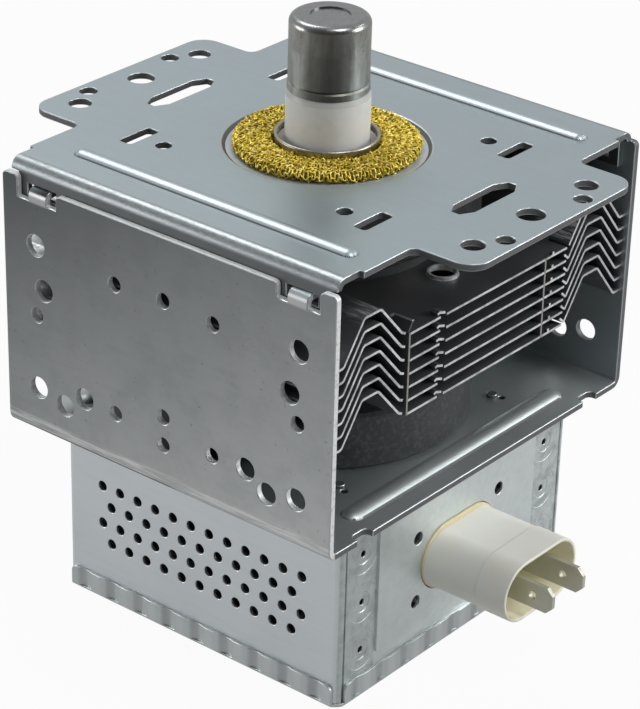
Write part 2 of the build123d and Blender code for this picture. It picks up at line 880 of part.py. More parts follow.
def collar_outline(margin):
    # Outline of the moulding's shorter and rounder collar in the wall, with a margin.
    return SlotCenterToCenter(2 * collar_half_span, collar_dia + 2 * margin)


def connector_plane(x):
    # Plane across the connector's axis with its local X along Y.
    return Plane(origin=(x, 0, connector_z), x_dir=(0, 1, 0), z_dir=(1, 0, 0))


def filter_box():
    # Thin steel box under the yoke, open below, with a raised panel round the connector.
    tall = box_top - box_foot
    outer = RectangleRounded(box_length, box_width, box_corner)
    inner = RectangleRounded(box_length - 2 * box_sheet, box_width - 2 * box_sheet, box_corner - box_sheet)
    box = extrude(Plane.XY.offset(box_foot) * outer, tall)
    box -= extrude(Plane.XY.offset(box_foot) * inner, tall - box_sheet)
    panel_low = box_foot + panel_foot
    panel_high = box_top - box_sheet
    for side in (-1, 1):
        middle = (panel_low + panel_high) / 2
        raised = Box(box_sheet, 2 * panel_half_width, panel_high - panel_low)
        box += Pos(side * (wall_face - box_sheet / 2), 0, middle) * raised
        sunk = Box(panel_rise, 2 * (panel_half_width - box_sheet), panel_high - panel_low - 2 * box_sheet)
        box -= Pos(side * (wall_inner - panel_rise / 2), 0, middle) * sunk
        seam = Box(box_sheet, seam_width, tall - box_sheet)
        for end in (-1, 1):
            at = end * (box_width / 2 - box_corner - seam_width / 2)
            box -= Pos(side * (box_length / 2), at, box_foot + (tall - box_sheet) / 2) * seam
    box -= wall_clinches()
    box -= extrude(Plane.XZ.offset(box_width / 2) * vent_rows(), -box_sheet)
    box -= rod(yoke_bore, box_top - box_sheet, box_top)
    box -= extrude(connector_plane(wall_inner) * collar_outline(connector_fit), box_sheet)
    for y, z in four_corners(connector_hole_x, connector_hole_z):
        box -= extrude(connector_plane(wall_inner) * Pos(y, z) * Circle(connector_hole_dia / 2), box_sheet)
    return box


def cover_lip_wall(length, outer_face):
    # One turned-up lip of the cover, on the -Y side, with round ends and crimp marks.
    lip = Rectangle(length, cover_lip)
    lip = fillet(lip.vertices().filter_by(lambda v: v.Y > 0), cover_lip_corner)
    wall = extrude(Plane.XZ.offset(outer_face) * Pos(0, cover_foot + cover_lip / 2) * lip, -cover_sheet)
    radius = (crimp_width**2 / 4 + crimp_depth**2) / (2 * crimp_depth)
    pitch = length / crimp_count
    for mark in range(crimp_count):
        place = (mark - (crimp_count - 1) / 2) * pitch
        dent = Pos(place, -outer_face - radius + crimp_depth, cover_foot + cover_lip / 2)
        wall -= dent * Cylinder(radius, 2 * cover_lip)
    return wall


def filter_box_cover():
    # Flat bottom cover with four crimped lips round the box's lower edge.
    long_face = box_width / 2 + cover_sheet
    short_face = box_length / 2 + cover_sheet
    floor = extrude(
        Plane.XY.offset(cover_foot) * RectangleRounded(2 * short_face, 2 * long_face, cover_corner),
        cover_sheet,
    )
    long_lip = cover_lip_wall(box_length - cover_gap, long_face)
    short_lip = cover_lip_wall(box_width - cover_short_gap, short_face)
    short_lip = Rot(0, 0, 90) * short_lip
    cover = floor + long_lip + mirror(long_lip, Plane.XZ) + short_lip + mirror(short_lip, Plane.YZ)
    low_edges = cover.edges().group_by(Axis.Z)[0].filter_by(GeomType.LINE)
    straight = low_edges.filter_by(lambda e: e.length > box_length / 2)
    return chamfer(straight, cover_edge_ease)


def connector_housing():
    # Cream moulding: collar in the wall, body, wider shroud and its open mouth.
    body = extrude(connector_plane(wall_face) * obround(body_dia), body_reach)
    collar_end = wall_face + collar_proud
    body += extrude(connector_plane(wall_inner - ground_plate_sheet) * collar_outline(0),
                    collar_end - wall_inner + ground_plate_sheet)
    shroud_start = wall_face + body_reach
    body += extrude(connector_plane(shroud_start) * obround(shroud_dia), shroud_reach - body_reach)
    mouth = wall_face + shroud_reach
    inner = extrude(connector_plane(mouth - shroud_depth) * obround(shroud_dia - 2 * shroud_wall),
                    shroud_depth)
    body -= inner
    back = wall_inner - ground_plate_sheet
    body += extrude(connector_plane(back - inner_body_reach) * obround(body_dia), inner_body_reach)
    for side in (-1, 1):
        slot = connector_plane(back - inner_body_reach) * Pos(side * blade_offset, 0)
        body -= extrude(slot * Circle(stud_dia / 2), inner_body_reach)
        body -= extrude(connector_plane(back) * Pos(side * blade_offset, 0)
                        * Rectangle(blade_thickness, blade_width), mouth - back)
    return body


def ground_plate():
    # Steel plate behind the box wall that earths the capacitor.
    wide = 2 * socket_half_span + collar_dia + 2 * ground_plate_margin
    tall = collar_dia + 2 * ground_plate_margin
    face = RectangleRounded(wide, tall, ground_plate_corner)
    face -= collar_outline(connector_fit)
    plate = extrude(connector_plane(wall_inner - ground_plate_sheet) * face, ground_plate_sheet)
    for y, z in four_corners(connector_hole_x, connector_hole_z):
        plate -= extrude(connector_plane(wall_inner - ground_plate_sheet) * Pos(y, z)
                         * Circle(connector_hole_dia / 2), ground_plate_sheet)
    return plate


def blade_terminal(side):
    # Flat blade with a chamfered tip and a latch hole outside, and a round stud inside.
    back = wall_inner - ground_plate_sheet
    tip = wall_face + blade_reach
    length = tip - back
    blade = Pos(back + length / 2, side * blade_offset, connector_z) * Box(length, blade_thickness, blade_width)
    corners = blade.edges().filter_by(Axis.Y).group_by(Axis.X)[-1]
    blade = chamfer(corners, blade_chamfer)
    hole = Rot(90, 0, 0) * Cylinder(blade_hole_dia / 2, 2 * blade_thickness)
    blade -= Pos(tip - blade_hole_back, side * blade_offset, connector_z) * hole
    start = back - inner_body_reach - stud_length
    stud = extrude(connector_plane(start) * Pos(side * blade_offset, 0) * Circle(stud_dia / 2),
                   inner_body_reach + stud_length)
    return blade + stud


def coil_end():
    # The coils' end beside the capacitor's studs.
    return wall_inner - ground_plate_sheet - inner_body_reach - stud_length


def choke_coil(side):
    # Wound wire from the capacitor's stud towards the stem.
    length = coil_turns * coil_pitch
    wound = helix_wire((coil_dia - coil_wire) / 2, coil_wire, coil_pitch, coil_turns)
    start = coil_end() - coil_start_gap - length
    coil = Pos(start, side * blade_offset, connector_z) * Rot(0, 90, 0) * wound
    return coil


def ferrite_core(side):
    # Round ferrite rod inside a choke.
    length = coil_turns * coil_pitch + 2 * core_overhang
    start = coil_end() - coil_start_gap - length + core_overhang
    return extrude(connector_plane(start) * Pos(side * blade_offset, 0) * Circle(core_dia / 2), length)


def save(name, shape):
    # Writes one node.
    export_step(shape, f"parts/{name}.step")


def build():
    # Models every piece of the magnetron and writes one file for each.
    os.makedirs("parts", exist_ok=True)
    save("mounting_plate", mounting_plate())
    save("lower_yoke", lower_yoke())
    save("rf_gasket", rf_gasket())
    save("top_magnet", ring_magnet(magnet_top - top_magnet_height, top_magnet_height))
    save("bottom_magnet", ring_magnet(yoke_floor, bottom_magnet_height))
    save("anode_cylinder", anode_cylinder())
    pole = pole_piece()
    lead_pass = rod(pole_pass_dia, vane_top, anode_top, pole_pass_radius)
    save("upper_pole_piece", pole - lead_pass)
    save("lower_pole_piece", upside_down(pole))
    save("strap_rings", strap_rings())
    save("antenna_seal", antenna_seal())
    save("stem_seal", stem_seal())
    save("stem_ceramic", stem_ceramic())
    save("cathode_filament", cathode_filament())
    save("upper_end_hat", upper_end_hat())
    save("lower_end_hat", lower_end_hat())
    save("centre_lead", centre_lead())
    save("side_lead", side_lead())
    save("output_ceramic", output_ceramic())
    save("exhaust_seal", exhaust_seal())
    save("exhaust_tube", exhaust_tube())
    save("antenna_lead", antenna_lead())
    save("antenna_cap", antenna_cap())
    for number in range(fin_count):
        level = -fin_top_drop - number * fin_pitch
        save(f"cooling_fin_{number + 1}", cooling_fin(level, number == 0))
    save("filter_box", filter_box())
    save("filter_box_cover", filter_box_cover())
    save("connector_housing", connector_housing())
    save("ground_plate", ground_plate())
    for name, side in (("near", -1), ("far", 1)):
        save(f"blade_terminal_{name}", blade_terminal(side))
        save(f"choke_coil_{name}", choke_coil(side))
        save(f"ferrite_core_{name}", ferrite_core(side))


build()
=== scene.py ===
"""Looks for an oven magnetron.

Its CAD pieces get their finishes, six of them get eased edges, and the gasket is knitted.
A camera, a floor and lamps show it as the photograph does.
"""

import logging
import math
from dataclasses import dataclass, field
from enum import Enum
from typing import Any, Iterable, Mapping, Sequence, Union

import bmesh
import bpy
from mathutils import Matrix, Vector


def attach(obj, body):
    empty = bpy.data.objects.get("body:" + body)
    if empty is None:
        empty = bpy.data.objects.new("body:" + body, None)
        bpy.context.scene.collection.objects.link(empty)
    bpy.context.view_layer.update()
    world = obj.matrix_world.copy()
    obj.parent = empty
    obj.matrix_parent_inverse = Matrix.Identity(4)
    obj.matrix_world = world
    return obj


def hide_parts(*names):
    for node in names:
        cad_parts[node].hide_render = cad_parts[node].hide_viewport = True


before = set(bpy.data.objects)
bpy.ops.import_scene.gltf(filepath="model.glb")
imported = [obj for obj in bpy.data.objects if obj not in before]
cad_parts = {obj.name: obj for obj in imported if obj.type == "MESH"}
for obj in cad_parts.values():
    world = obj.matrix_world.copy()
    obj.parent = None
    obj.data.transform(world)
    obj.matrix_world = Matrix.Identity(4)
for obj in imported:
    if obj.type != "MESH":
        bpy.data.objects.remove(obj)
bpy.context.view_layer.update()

log = logging.getLogger("magnetron")
MM = 0.001
Colour = tuple[float, float, float]
Point = tuple[float, float, float]
Range = tuple[float, float]
Node = bpy.types.Node
Socket = bpy.types.NodeSocket
Material = bpy.types.Material
Piece = bpy.types.Object


class Value:
    """A number socket whose arithmetic adds Math nodes to its tree."""

    def __init__(self, tree: "Tree", socket: Socket) -> None:
        """Wraps an output socket that carries a number, with the tree that it belongs to."""
        self.tree = tree
        self.socket = socket

    def _math(self, operation: str, left: "Number", right: "Number" = 0.0, clamp: bool = False) -> "Value":
        """Adds one Math node.

        Args:
            operation: Blender's name of the operation.
            left: First operand.
            right: Second operand.
            clamp: True to keep the result between 0 and 1.

        Returns:
            The node's result.
        """
        settings = {"operation": operation, "use_clamp": clamp}
        made = self.tree.node("ShaderNodeMath", settings, {0: left, 1: right})
        return Value(self.tree, made.outputs[0])

    def __add__(self, other: "Number") -> "Value":
        """Sum."""
        return self._math("ADD", self, other)

    __radd__ = __add__

    def __sub__(self, other: "Number") -> "Value":
        """Difference."""
        return self._math("SUBTRACT", self, other)

    def __rsub__(self, other: "Number") -> "Value":
        """Difference from a plain number."""
        return self._math("SUBTRACT", other, self)

    def __mul__(self, other: "Number") -> "Value":
        """Product."""
        return self._math("MULTIPLY", self, other)

    __rmul__ = __mul__

    def __truediv__(self, other: "Number") -> "Value":
        """Quotient."""
        return self._math("DIVIDE", self, other)

    def __pow__(self, other: "Number") -> "Value":
        """Power."""
        return self._math("POWER", self, other)

    def __abs__(self) -> "Value":
        """Size without sign."""
        return self._math("ABSOLUTE", self)

    def arctangent(self, other: "Number") -> "Value":
        """Angle of the point (other, this) about the origin, in radians."""
        return self._math("ARCTAN2", self, other)

    def fraction(self) -> "Value":
        """What is left above the whole number."""
        return self._math("FRACT", self)

    def sign(self) -> "Value":
        """-1, 0 or 1."""
        return self._math("SIGN", self)

    def sine(self) -> "Value":
        """Sine of an angle in radians."""
        return self._math("SINE", self)

    def cosine(self) -> "Value":
        """Cosine of an angle in radians."""
        return self._math("COSINE", self)

    def clamped(self) -> "Value":
        """The same value kept between 0 and 1."""
        return self._math("ADD", self, 0.0, True)

    def ramp(self, low: float, high: float) -> "Value":
        """A smooth step.

        Args:
            low: Where the step is 0.
            high: Where the step is 1, which may be below low.

        Returns:
            The step, from 0 to 1.
        """
        settings = {"interpolation_type": "SMOOTHSTEP"}
        values = {"Value": self, "From Min": low, "From Max": high}
        return Value(self.tree, self.tree.node("ShaderNodeMapRange", settings, values).outputs["Result"])


Number = Union[float, Value]
Input = Union[float, Sequence[float], Value, Socket, Any]


class Tree:
    """A node tree with one way to add any node."""

    def __init__(self, nodes: bpy.types.NodeTree) -> None:
        """Wraps Blender's node tree."""
        self.nodes = nodes

    def node(self, kind: str, settings: Mapping[str, Any] | None = None,
             values: Mapping[str | int, Input] | None = None) -> Node:
        """Adds a node, sets its options and then its sockets.

        Args:
            kind: Blender's type name of the node.
            settings: The node's own options.
            values: Numbers, colours, values, sockets or nodes by input name or place.

        Returns:
            The node.
        """
        made = self.nodes.nodes.new(kind)
        for name, value in (settings or {}).items():
            setattr(made, name, value)
        for name, value in (values or {}).items():
            self.feed(made.inputs[name], value)
        return made

    def feed(self, socket: Socket, value: Input) -> None:
        """Links or sets one input socket.

        Args:
            socket: The input.
            value: A value, a socket or a node's first output to link, or a constant.
        """
        if isinstance(value, Value):
            self.nodes.links.new(value.socket, socket)
        elif isinstance(value, Socket):
            self.nodes.links.new(value, socket)
        elif isinstance(value, Node):
            self.nodes.links.new(value.outputs[0], socket)
        elif isinstance(value, tuple) and socket.type == "RGBA" and len(value) == 3:
            socket.default_value = (*value, 1.0)
        else:
            socket.default_value = value


class Blend(Enum):
    """How a second colour goes on a first."""

    COVER = "MIX"
    SHADE = "MULTIPLY"


class Look(Tree):
    """One material's shader tree, with a Principled shader at its end."""

    def __init__(self, name: str) -> None:
        """Starts a material.

        Args:
            name: The material's name.
        """
        self.material = bpy.data.materials.new(name)
        self.material.use_nodes = True
        super().__init__(self.material.node_tree)
        self.shader = self.nodes.nodes["Principled BSDF"]
        self.place = self.node("ShaderNodeTexCoord").outputs["Object"]
        self.axes = self.node("ShaderNodeSeparateXYZ", {}, {0: self.place}).outputs

    def axis(self, name: str) -> Value:
        """The object coordinate along X, Y or Z, in millimetres."""
        return Value(self, self.axes[name]) * (1.0 / MM)

    def bearing(self) -> Value:
        """The angle about the antenna's axis, in radians."""
        return self.axis("Y").arctangent(self.axis("X"))

    def blend(self, factor: Number, first: Input, second: Input, how: Blend = Blend.COVER) -> Socket:
        """Mixes two colours.

        Args:
            factor: Share of the second.
            first: A colour.
            second: A colour.
            how: How the second goes on the first.

        Returns:
            The mixed colour's socket.
        """
        settings = {"data_type": "RGBA", "blend_type": how.value, "clamp_factor": True}
        made = self.node("ShaderNodeMix", settings, {"Factor": factor, 6: first, 7: second})
        return made.outputs[2]

    def bump(self, height: Number, depth: float) -> None:
        """Feeds the shader's normal from a height of 0 to 1, with its full depth in millimetres."""
        values = {"Height": height, "Distance": depth * MM}
        self.finish(Normal=self.node("ShaderNodeBump", {}, values))

    def finish(self, **inputs: Input) -> Material:
        """Sets inputs of the shader.

        Args:
            inputs: Values by input name, with _ for each space.

        Returns:
            The material.
        """
        for name, value in inputs.items():
            self.feed(self.shader.inputs[name.replace("_", " ")], value)
        return self.material


@dataclass(frozen=True)
class Mottle:
    """A pattern of clouds, spots or streaks: noise of a size in millimetres, cut between two levels."""

    size: float
    low: float = 0.0
    high: float = 1.0
    share: float = 1.0
    detail: float = 3.0
    roughness: float = 0.5
    stretch: Point = (1.0, 1.0, 1.0)

    def noise(self, look: Look) -> Value:
        """Makes the noise before it is cut.

        Args:
            look: The material in hand.

        Returns:
            Noise about 0.5.
        """
        scale = tuple(1.0 / (self.size * MM * along) for along in self.stretch)
        spread = look.node("ShaderNodeMapping", {}, {"Vector": look.place, "Scale": scale})
        values = {"Vector": spread, "Scale": 1.0, "Detail": self.detail, "Roughness": self.roughness}
        return Value(look, look.node("ShaderNodeTexNoise", {}, values).outputs[0])

    def cut(self, noise: Value) -> Value:
        """The noise as a mask, 0 at its low level and its share at the high one."""
        return noise.ramp(self.low, self.high) * self.share

    def mask(self, look: Look) -> Value:
        """The pattern as a mask, made and cut."""
        return self.cut(self.noise(look))


@dataclass(frozen=True)
class ZincSheet:
    """Zinc-plated sheet steel, satin, with soft clouds, faint rolling lines and a fine grain."""

    name: str
    colour: Colour
    roughness: float = 0.36
    clouded: float = 0.14
    depth: float = 0.008
    metallic: float = 0.9
    clouds: Mottle = Mottle(24.0, 0.3, 0.7)
    cloud_tint: Colour = (0.55, 0.56, 0.57)
    lines: Mottle = Mottle(1.1, 0.4, 0.75, 0.08, roughness=0.6, stretch=(8.0, 1.0, 1.0))
    line_tint: Colour = (0.6, 0.6, 0.6)
    grain: Mottle = Mottle(0.3, detail=2.0, roughness=0.6)
    line_depth: float = 0.3
    rough_clouds: float = 0.06
    rough_grain: float = 0.10

    def tone(self, look: Look) -> Input:
        """The sheet's colour before its clouds and lines."""
        return self.colour

    def sheen(self, look: Look) -> Input:
        """How metallic the sheet looks, as a share."""
        return self.metallic

    def material(self) -> Material:
        """Builds the finish.

        Returns:
            The material.
        """
        look = Look(self.name)
        base = self.tone(look)
        clouds = self.clouds.mask(look)
        base = look.blend(clouds * self.clouded, base, self.cloud_tint, Blend.SHADE)
        lines = self.lines.noise(look)
        base = look.blend(self.lines.cut(lines), base, self.line_tint, Blend.SHADE)
        grain = self.grain.noise(look)
        rough = self.roughness + (clouds - 0.5) * self.rough_clouds + (grain - 0.5) * self.rough_grain
        look.bump(grain * (1.0 - self.line_depth) + lines * self.line_depth, self.depth)
        return look.finish(Base_Color=base, Metallic=self.sheen(look), Roughness=rough)


@dataclass(frozen=True)
class PlateSheet(ZincSheet):
    """The mounting plate's sheet, scuffed where it folds, painted dark below the fold as painted shade,
    and painted pale and less metallic in the gasket's dish as painted light.
    """

    # painted shade: the flanges below the fold are painted dark
    fold_painted_shade: Colour = (0.16, 0.17, 0.175)
    scuffed: Colour = (0.27, 0.285, 0.29)
    # painted light: the gasket's dish is painted pale where the gasket's shadow falls
    dish: Colour = (0.55, 0.61, 0.64)
    fold: Range = (37.3, 37.9)
    below_fold: Range = (-0.7, -2.2)
    dish_edge: Range = (17.9, 17.5)
    dish_dulled: float = 0.6
    scuffs: Mottle = Mottle(0.3, 0.36, 0.64, 0.5, roughness=0.7, stretch=(3.5, 1.0, 1.0))

    def tone(self, look: Look) -> Input:
        """Pale on the flat, painted paler in the dish as painted light, scuffed at the fold, and painted
        dark down the flanges as painted shade.

        Args:
            look: The material in hand.

        Returns:
            A colour.
        """
        bend = look.blend(self.scuffs.mask(look), self.scuffed, self.colour)
        base = look.blend(abs(look.axis("Y")).ramp(*self.fold), self.colour, bend)
        # painted light in the dish, then painted shade below the fold
        base = look.blend(self._in_dish(look), base, self.dish)
        return look.blend(look.axis("Z").ramp(*self.below_fold), base, self.fold_painted_shade)

    def sheen(self, look: Look) -> Input:
        """Duller in the gasket's dish."""
        return self.metallic - self._in_dish(look) * self.dish_dulled

    def _in_dish(self, look: Look) -> Value:
        """One inside the gasket's dish and zero round it."""
        ray = (look.axis("X") ** 2.0 + look.axis("Y") ** 2.0) ** 0.5
        return ray.ramp(*self.dish_edge)


@dataclass(frozen=True)
class YokeSheet(ZincSheet):
    """The yoke's sheet, painted dark at the top and lighter below outside as painted shade, rubbed at the
    foot with painted highlights on its tabs, and with painted shade inside, deepest in one corner.
    """

    # painted shade: the dark end of the outside's painted gradient, also the tint of its real marks and
    # the painted shade inside
    shade_and_marks: Colour = (0.10, 0.108, 0.111)
    # painted light: the lit end of the outside's painted gradient
    clear: Colour = (0.58, 0.605, 0.60)
    # painted shade: the side plates' inner faces are a darker copy of the floor's colour
    inner: Colour = (0.46, 0.52, 0.535)
    # painted shade in one corner of the floor inside
    corner_shade: Colour = (0.05, 0.054, 0.056)
    # real rubbing at the foot; on the tabs the same colour is a painted highlight
    rubbed: Colour = (0.86, 0.87, 0.86)
    half_length: float = 35.5
    top: float = -2.0
    height: float = 49.3
    # painted shade gradient outside: how much lighter towards +X and downwards
    lit_along: float = 0.42
    lit_downward: float = 0.65
    foot: Range = (-45.9, -46.7)
    foot_rubbed: float = 0.05
    tab_place: float = 27.7
    tab_width: Range = (2.4, 2.1)
    tab_foot: Range = (-6.4, -5.8)
    tab_highlight: float = 0.45
    inner_face: Range = (39.2, 39.6)
    inner_back: Range = (4.0, -16.0)
    inner_back_shaded: float = 0.5
    shade_front: Range = (4.0, 0.0)
    shade_back: Range = (-32.0, -26.0)
    shade_side: Range = (-14.0, -19.0)
    outer_face: Range = (40.5, 40.7)
    under_face: Range = (-48.6, -48.9)
    marks: Mottle = Mottle(6.0, 0.42, 0.66, 0.09, detail=4.0, roughness=0.7)
    dots: Mottle = Mottle(0.9, 0.73, 0.77, 0.3, detail=1.0)
    scuffs: Mottle = Mottle(0.5, 0.42, 0.6, 0.6, roughness=0.75, stretch=(24.0, 1.0, 1.0))

    def tone(self, look: Look) -> Input:
        """Painted shade outside, dark at the top and towards -X and lighter below and towards +X, with
        marks, a rubbed fold and painted highlights on the tabs; inside, painted shade on the side faces,
        towards the back and in a corner.

        Args:
            look: The material in hand.

        Returns:
            A colour.
        """
        x, y, z = look.axis("X"), look.axis("Y"), look.axis("Z")
        along = (x + self.half_length) * (self.lit_along / (2 * self.half_length))
        down = (z - self.top) * (-self.lit_downward / self.height)
        # painted shade outside, darker at the top and towards -X
        outside = look.blend((along + down).clamped(), self.shade_and_marks, self.clear)
        marked = self.marks.mask(look) + self.dots.mask(look)
        outside = look.blend(marked.clamped(), outside, self.shade_and_marks)
        scuffed = self.scuffs.mask(look) + self.foot_rubbed
        outside = look.blend(z.ramp(*self.foot) * scuffed, outside, self.rubbed)
        # painted highlight on the crimped tabs
        tab = abs(abs(x) - self.tab_place).ramp(*self.tab_width) * z.ramp(*self.tab_foot)
        outside = look.blend(tab * self.tab_highlight, outside, self.rubbed)
        # painted shade inside: darker side faces, darker towards the back
        inside = look.blend(abs(y).ramp(*self.inner_face), self.colour, self.inner)
        inside = look.blend(x.ramp(*self.inner_back) * self.inner_back_shaded, inside, self.shade_and_marks)
        # painted shade in one corner of the floor
        shaded_corner = x.ramp(*self.shade_front) * x.ramp(*self.shade_back) * y.ramp(*self.shade_side)
        inside = look.blend(shaded_corner, inside, self.corner_shade)
        shell = abs(y).ramp(*self.outer_face) + z.ramp(*self.under_face)
        return look.blend(shell.clamped(), inside, outside)


@dataclass(frozen=True)
class BoxSheet(ZincSheet):
    """The filter box's sheet, duller on the clinched strips beside the connector's panel, with painted
    shade across that panel and on its long walls.
    """

    # painted shade: the long walls are a darker copy of the connector wall's colour
    shaded_long_wall: Colour = (0.69, 0.74, 0.755)
    # the strips' duller tone, also the dark end of the painted shade across the connector's wall
    dull: Colour = (0.30, 0.33, 0.335)
    wall: Range = (30.2, 30.5)
    strip: Range = (21.9, 22.3)
    shade: Range = (-30.0, -8.0)
    shaded_least: float = 0.58
    strip_dulled: float = 0.14
    strip_mottled: float = 0.3
    front_mottled: float = 0.1
    mottling: Mottle = Mottle(2.4, 0.4, 0.68, detail=4.0, roughness=0.65)

    def tone(self, look: Look) -> Input:
        """Plain but painted a shade darker on the long walls, with painted shade across the connector's
        wall, mottled on its strips.

        Args:
            look: The material in hand.

        Returns:
            A colour.
        """
        y = look.axis("Y")
        # painted shade across the connector's wall, darkest towards -Y
        across = y.ramp(*self.shade) * (1.0 - self.shaded_least) + self.shaded_least
        front = look.blend(across, self.dull, self.colour)
        mottled = self.mottling.mask(look)
        strips = abs(y).ramp(*self.strip) * (mottled * self.strip_mottled + self.strip_dulled)
        front = look.blend(strips + mottled * self.front_mottled, front, self.dull)
        return look.blend(abs(look.axis("X")).ramp(*self.wall), self.shaded_long_wall, front)


@dataclass(frozen=True)
class CoverSheet(ZincSheet):
    """The cover's sheet, with a soft stripe of painted shade and one of painted highlight at each crimp
    mark of its lips.
    """

    # painted shade of the crimp flutes
    dark: Colour = (0.20, 0.21, 0.21)
    # painted highlight of the crimp flutes
    bright: Colour = (0.86, 0.89, 0.88)
    long_pitch: float = 6.633
    short_pitch: float = 6.711
    short_face: Range = (30.95, 31.05)
    phase: float = 0.7
    shade_stripe: Range = (0.2, 1.0)
    shade_share: float = 0.45
    highlight_stripe: Range = (-0.3, -1.0)
    highlight_share: float = 0.25
    patch_least: float = 0.4
    patch_gain: float = 0.8
    patches: Mottle = Mottle(4.0, detail=2.0)

    def tone(self, look: Look) -> Input:
        """Plain with stripes of painted shade and painted highlight along the lips.

        Args:
            look: The material in hand.

        Returns:
            A colour.
        """
        x, y = look.axis("X"), look.axis("Y")
        short = abs(x).ramp(*self.short_face)
        turns = x / self.long_pitch * (1.0 - short) + y / self.short_pitch * short
        wave = (turns * math.tau + self.phase).cosine()
        uneven = self.patches.noise(look) * self.patch_gain + self.patch_least
        # painted shade and painted highlight of the flutes
        base = look.blend(wave.ramp(*self.shade_stripe) * uneven * self.shade_share, self.colour, self.dark)
        return look.blend(wave.ramp(*self.highlight_stripe) * uneven * self.highlight_share, base, self.bright)


@dataclass(frozen=True)
class ShearedEdge(ZincSheet):
    """Sheared faces of the sheet, dull, with a painted highlight broken by dark nicks on the first side
    plate.
    """

    # painted highlight of the first side plate's sheared faces
    bright: Colour = (0.86, 0.88, 0.88)
    first_plate: Range = (-39.3, -39.5)
    nicks: Mottle = Mottle(0.7, 0.5, 0.68, 0.35, roughness=0.7, stretch=(4.0, 1.0, 1.0))

    def tone(self, look: Look) -> Input:
        """Dull, or a painted highlight with dark nicks on the first side plate."""
        # painted highlight with nicks on the first side plate
        bright = look.blend(self.nicks.mask(look), self.bright, self.colour)
        return look.blend(look.axis("Y").ramp(*self.first_plate), self.colour, bright)


@dataclass(frozen=True)
class PlainMetal:
    """A metal with light clouds and a fine grain."""

    name: str
    colour: Colour
    roughness: float = 0.35
    depth: float = 0.006
    grain_size: float = 0.5
    metallic: float = 1.0
    rough_grain: float = 0.2
    clouds: Mottle = Mottle(7.0, 0.3, 0.7, 0.3)
    cloud_tint: Colour = (0.6, 0.6, 0.6)

    def tone(self, look: Look) -> Input:
        """The metal's colour before its clouds."""
        return self.colour

    def material(self) -> Material:
        """Builds the finish.

        Returns:
            The material.
        """
        look = Look(self.name)
        base = look.blend(self.clouds.mask(look), self.tone(look), self.cloud_tint, Blend.SHADE)
        grain = Mottle(self.grain_size, detail=2.0, roughness=0.6).noise(look)
        look.bump(grain, self.depth)
        rough = self.roughness + (grain - 0.5) * self.rough_grain
        return look.finish(Base_Color=base, Metallic=self.metallic, Roughness=rough)


@dataclass(frozen=True)
class FinStock(PlainMetal):
    """Fin aluminium, painted dark on its faces as painted shade, bright and uneven on its sheared edges,
    with painted light where light reaches in.
    """

    # the bright aluminium of the sheared edges, also used for the painted light on the fins
    edge: Colour = (0.90, 0.92, 0.93)
    dimmer_edge: Colour = (0.50, 0.51, 0.52)
    brown: Colour = (0.27, 0.25, 0.22)
    cut: Range = (34.34, 34.4)
    # edges darker towards +Y
    dimmer_side: Range = (22.0, 27.0)
    side_dimmed: float = 0.6
    spacers: Range = (-20.6, 16.4)
    spacer_width: Range = (0.32, 0.24)
    spacer_browned: float = 0.8
    # painted light on the port's rim and inside it
    port_place: float = 25.2
    port_rim: Range = (2.8, 2.75)
    # painted highlight on the lug's top
    lug_top: float = -14.19
    lug_gauge: Range = (0.2, 0.15)
    lug_place: float = -19.9
    lug_width: Range = (1.2, 1.1)
    # painted light in streaks on the top fin's crest and slope
    crest_place: float = -30.6
    crest_width: Range = (3.0, 1.6)
    crest_front: Range = (27.0, 33.5)
    crest_lit: float = 0.8
    top_fin: Range = (-11.2, -10.8)
    # painted light on the fins' back end
    lit_back_end: Range = (-27.0, -31.0)
    valley_place: float = 22.9
    valley_level: float = -16.2
    slope_rise: float = 1.41
    slope_gauge: Range = (1.0, 0.7)
    slope_front: Range = (25.5, 28.0)
    slope_foot: Range = (23.1, 23.5)
    patches: Mottle = Mottle(2.6, 0.32, 0.66, roughness=0.75)
    streaks: Mottle = Mottle(0.5, 0.4, 0.65, roughness=0.7, stretch=(10.0, 1.0, 1.0))

    def tone(self, look: Look) -> Input:
        """Bright where sheared, uneven and darker towards +Y; painted light at the back end, on the port's
        rim, the lug's top and in streaks on one crest and slope; brown at the spacers.

        Args:
            look: The material in hand.

        Returns:
            A colour.
        """
        x, y, z = look.axis("X"), look.axis("Y"), look.axis("Z")
        edge = look.blend(self.patches.mask(look), self.dimmer_edge, self.edge)
        # edges darker towards +Y
        edge = look.blend(y.ramp(*self.dimmer_side) * self.side_dimmed, edge, self.dimmer_edge)
        for place in self.spacers:
            spacer = abs(y - place).ramp(*self.spacer_width)
            edge = look.blend(spacer * self.spacer_browned, edge, self.brown)
        rim = (((x - self.port_place) ** 2.0 + y ** 2.0) ** 0.5).ramp(*self.port_rim)
        lug = abs(z - self.lug_top).ramp(*self.lug_gauge) * abs(y - self.lug_place).ramp(*self.lug_width)
        streaks = self.streaks.mask(look)
        crest = x.ramp(*self.crest_front) * abs(y - self.crest_place).ramp(*self.crest_width)
        crest = crest * z.ramp(*self.top_fin) * streaks * self.crest_lit
        rise = (y - self.valley_place) * self.slope_rise
        slope = abs(z - self.valley_level - rise).ramp(*self.slope_gauge)
        slope = slope * x.ramp(*self.slope_front) * y.ramp(*self.slope_foot) * streaks
        # real bright sheared edges, plus painted light at the back end, port rim, lug, crest and slope
        bright = abs(x).ramp(*self.cut) + lug + rim + crest + x.ramp(*self.lit_back_end) + slope
        return look.blend(bright.clamped(), self.colour, edge)


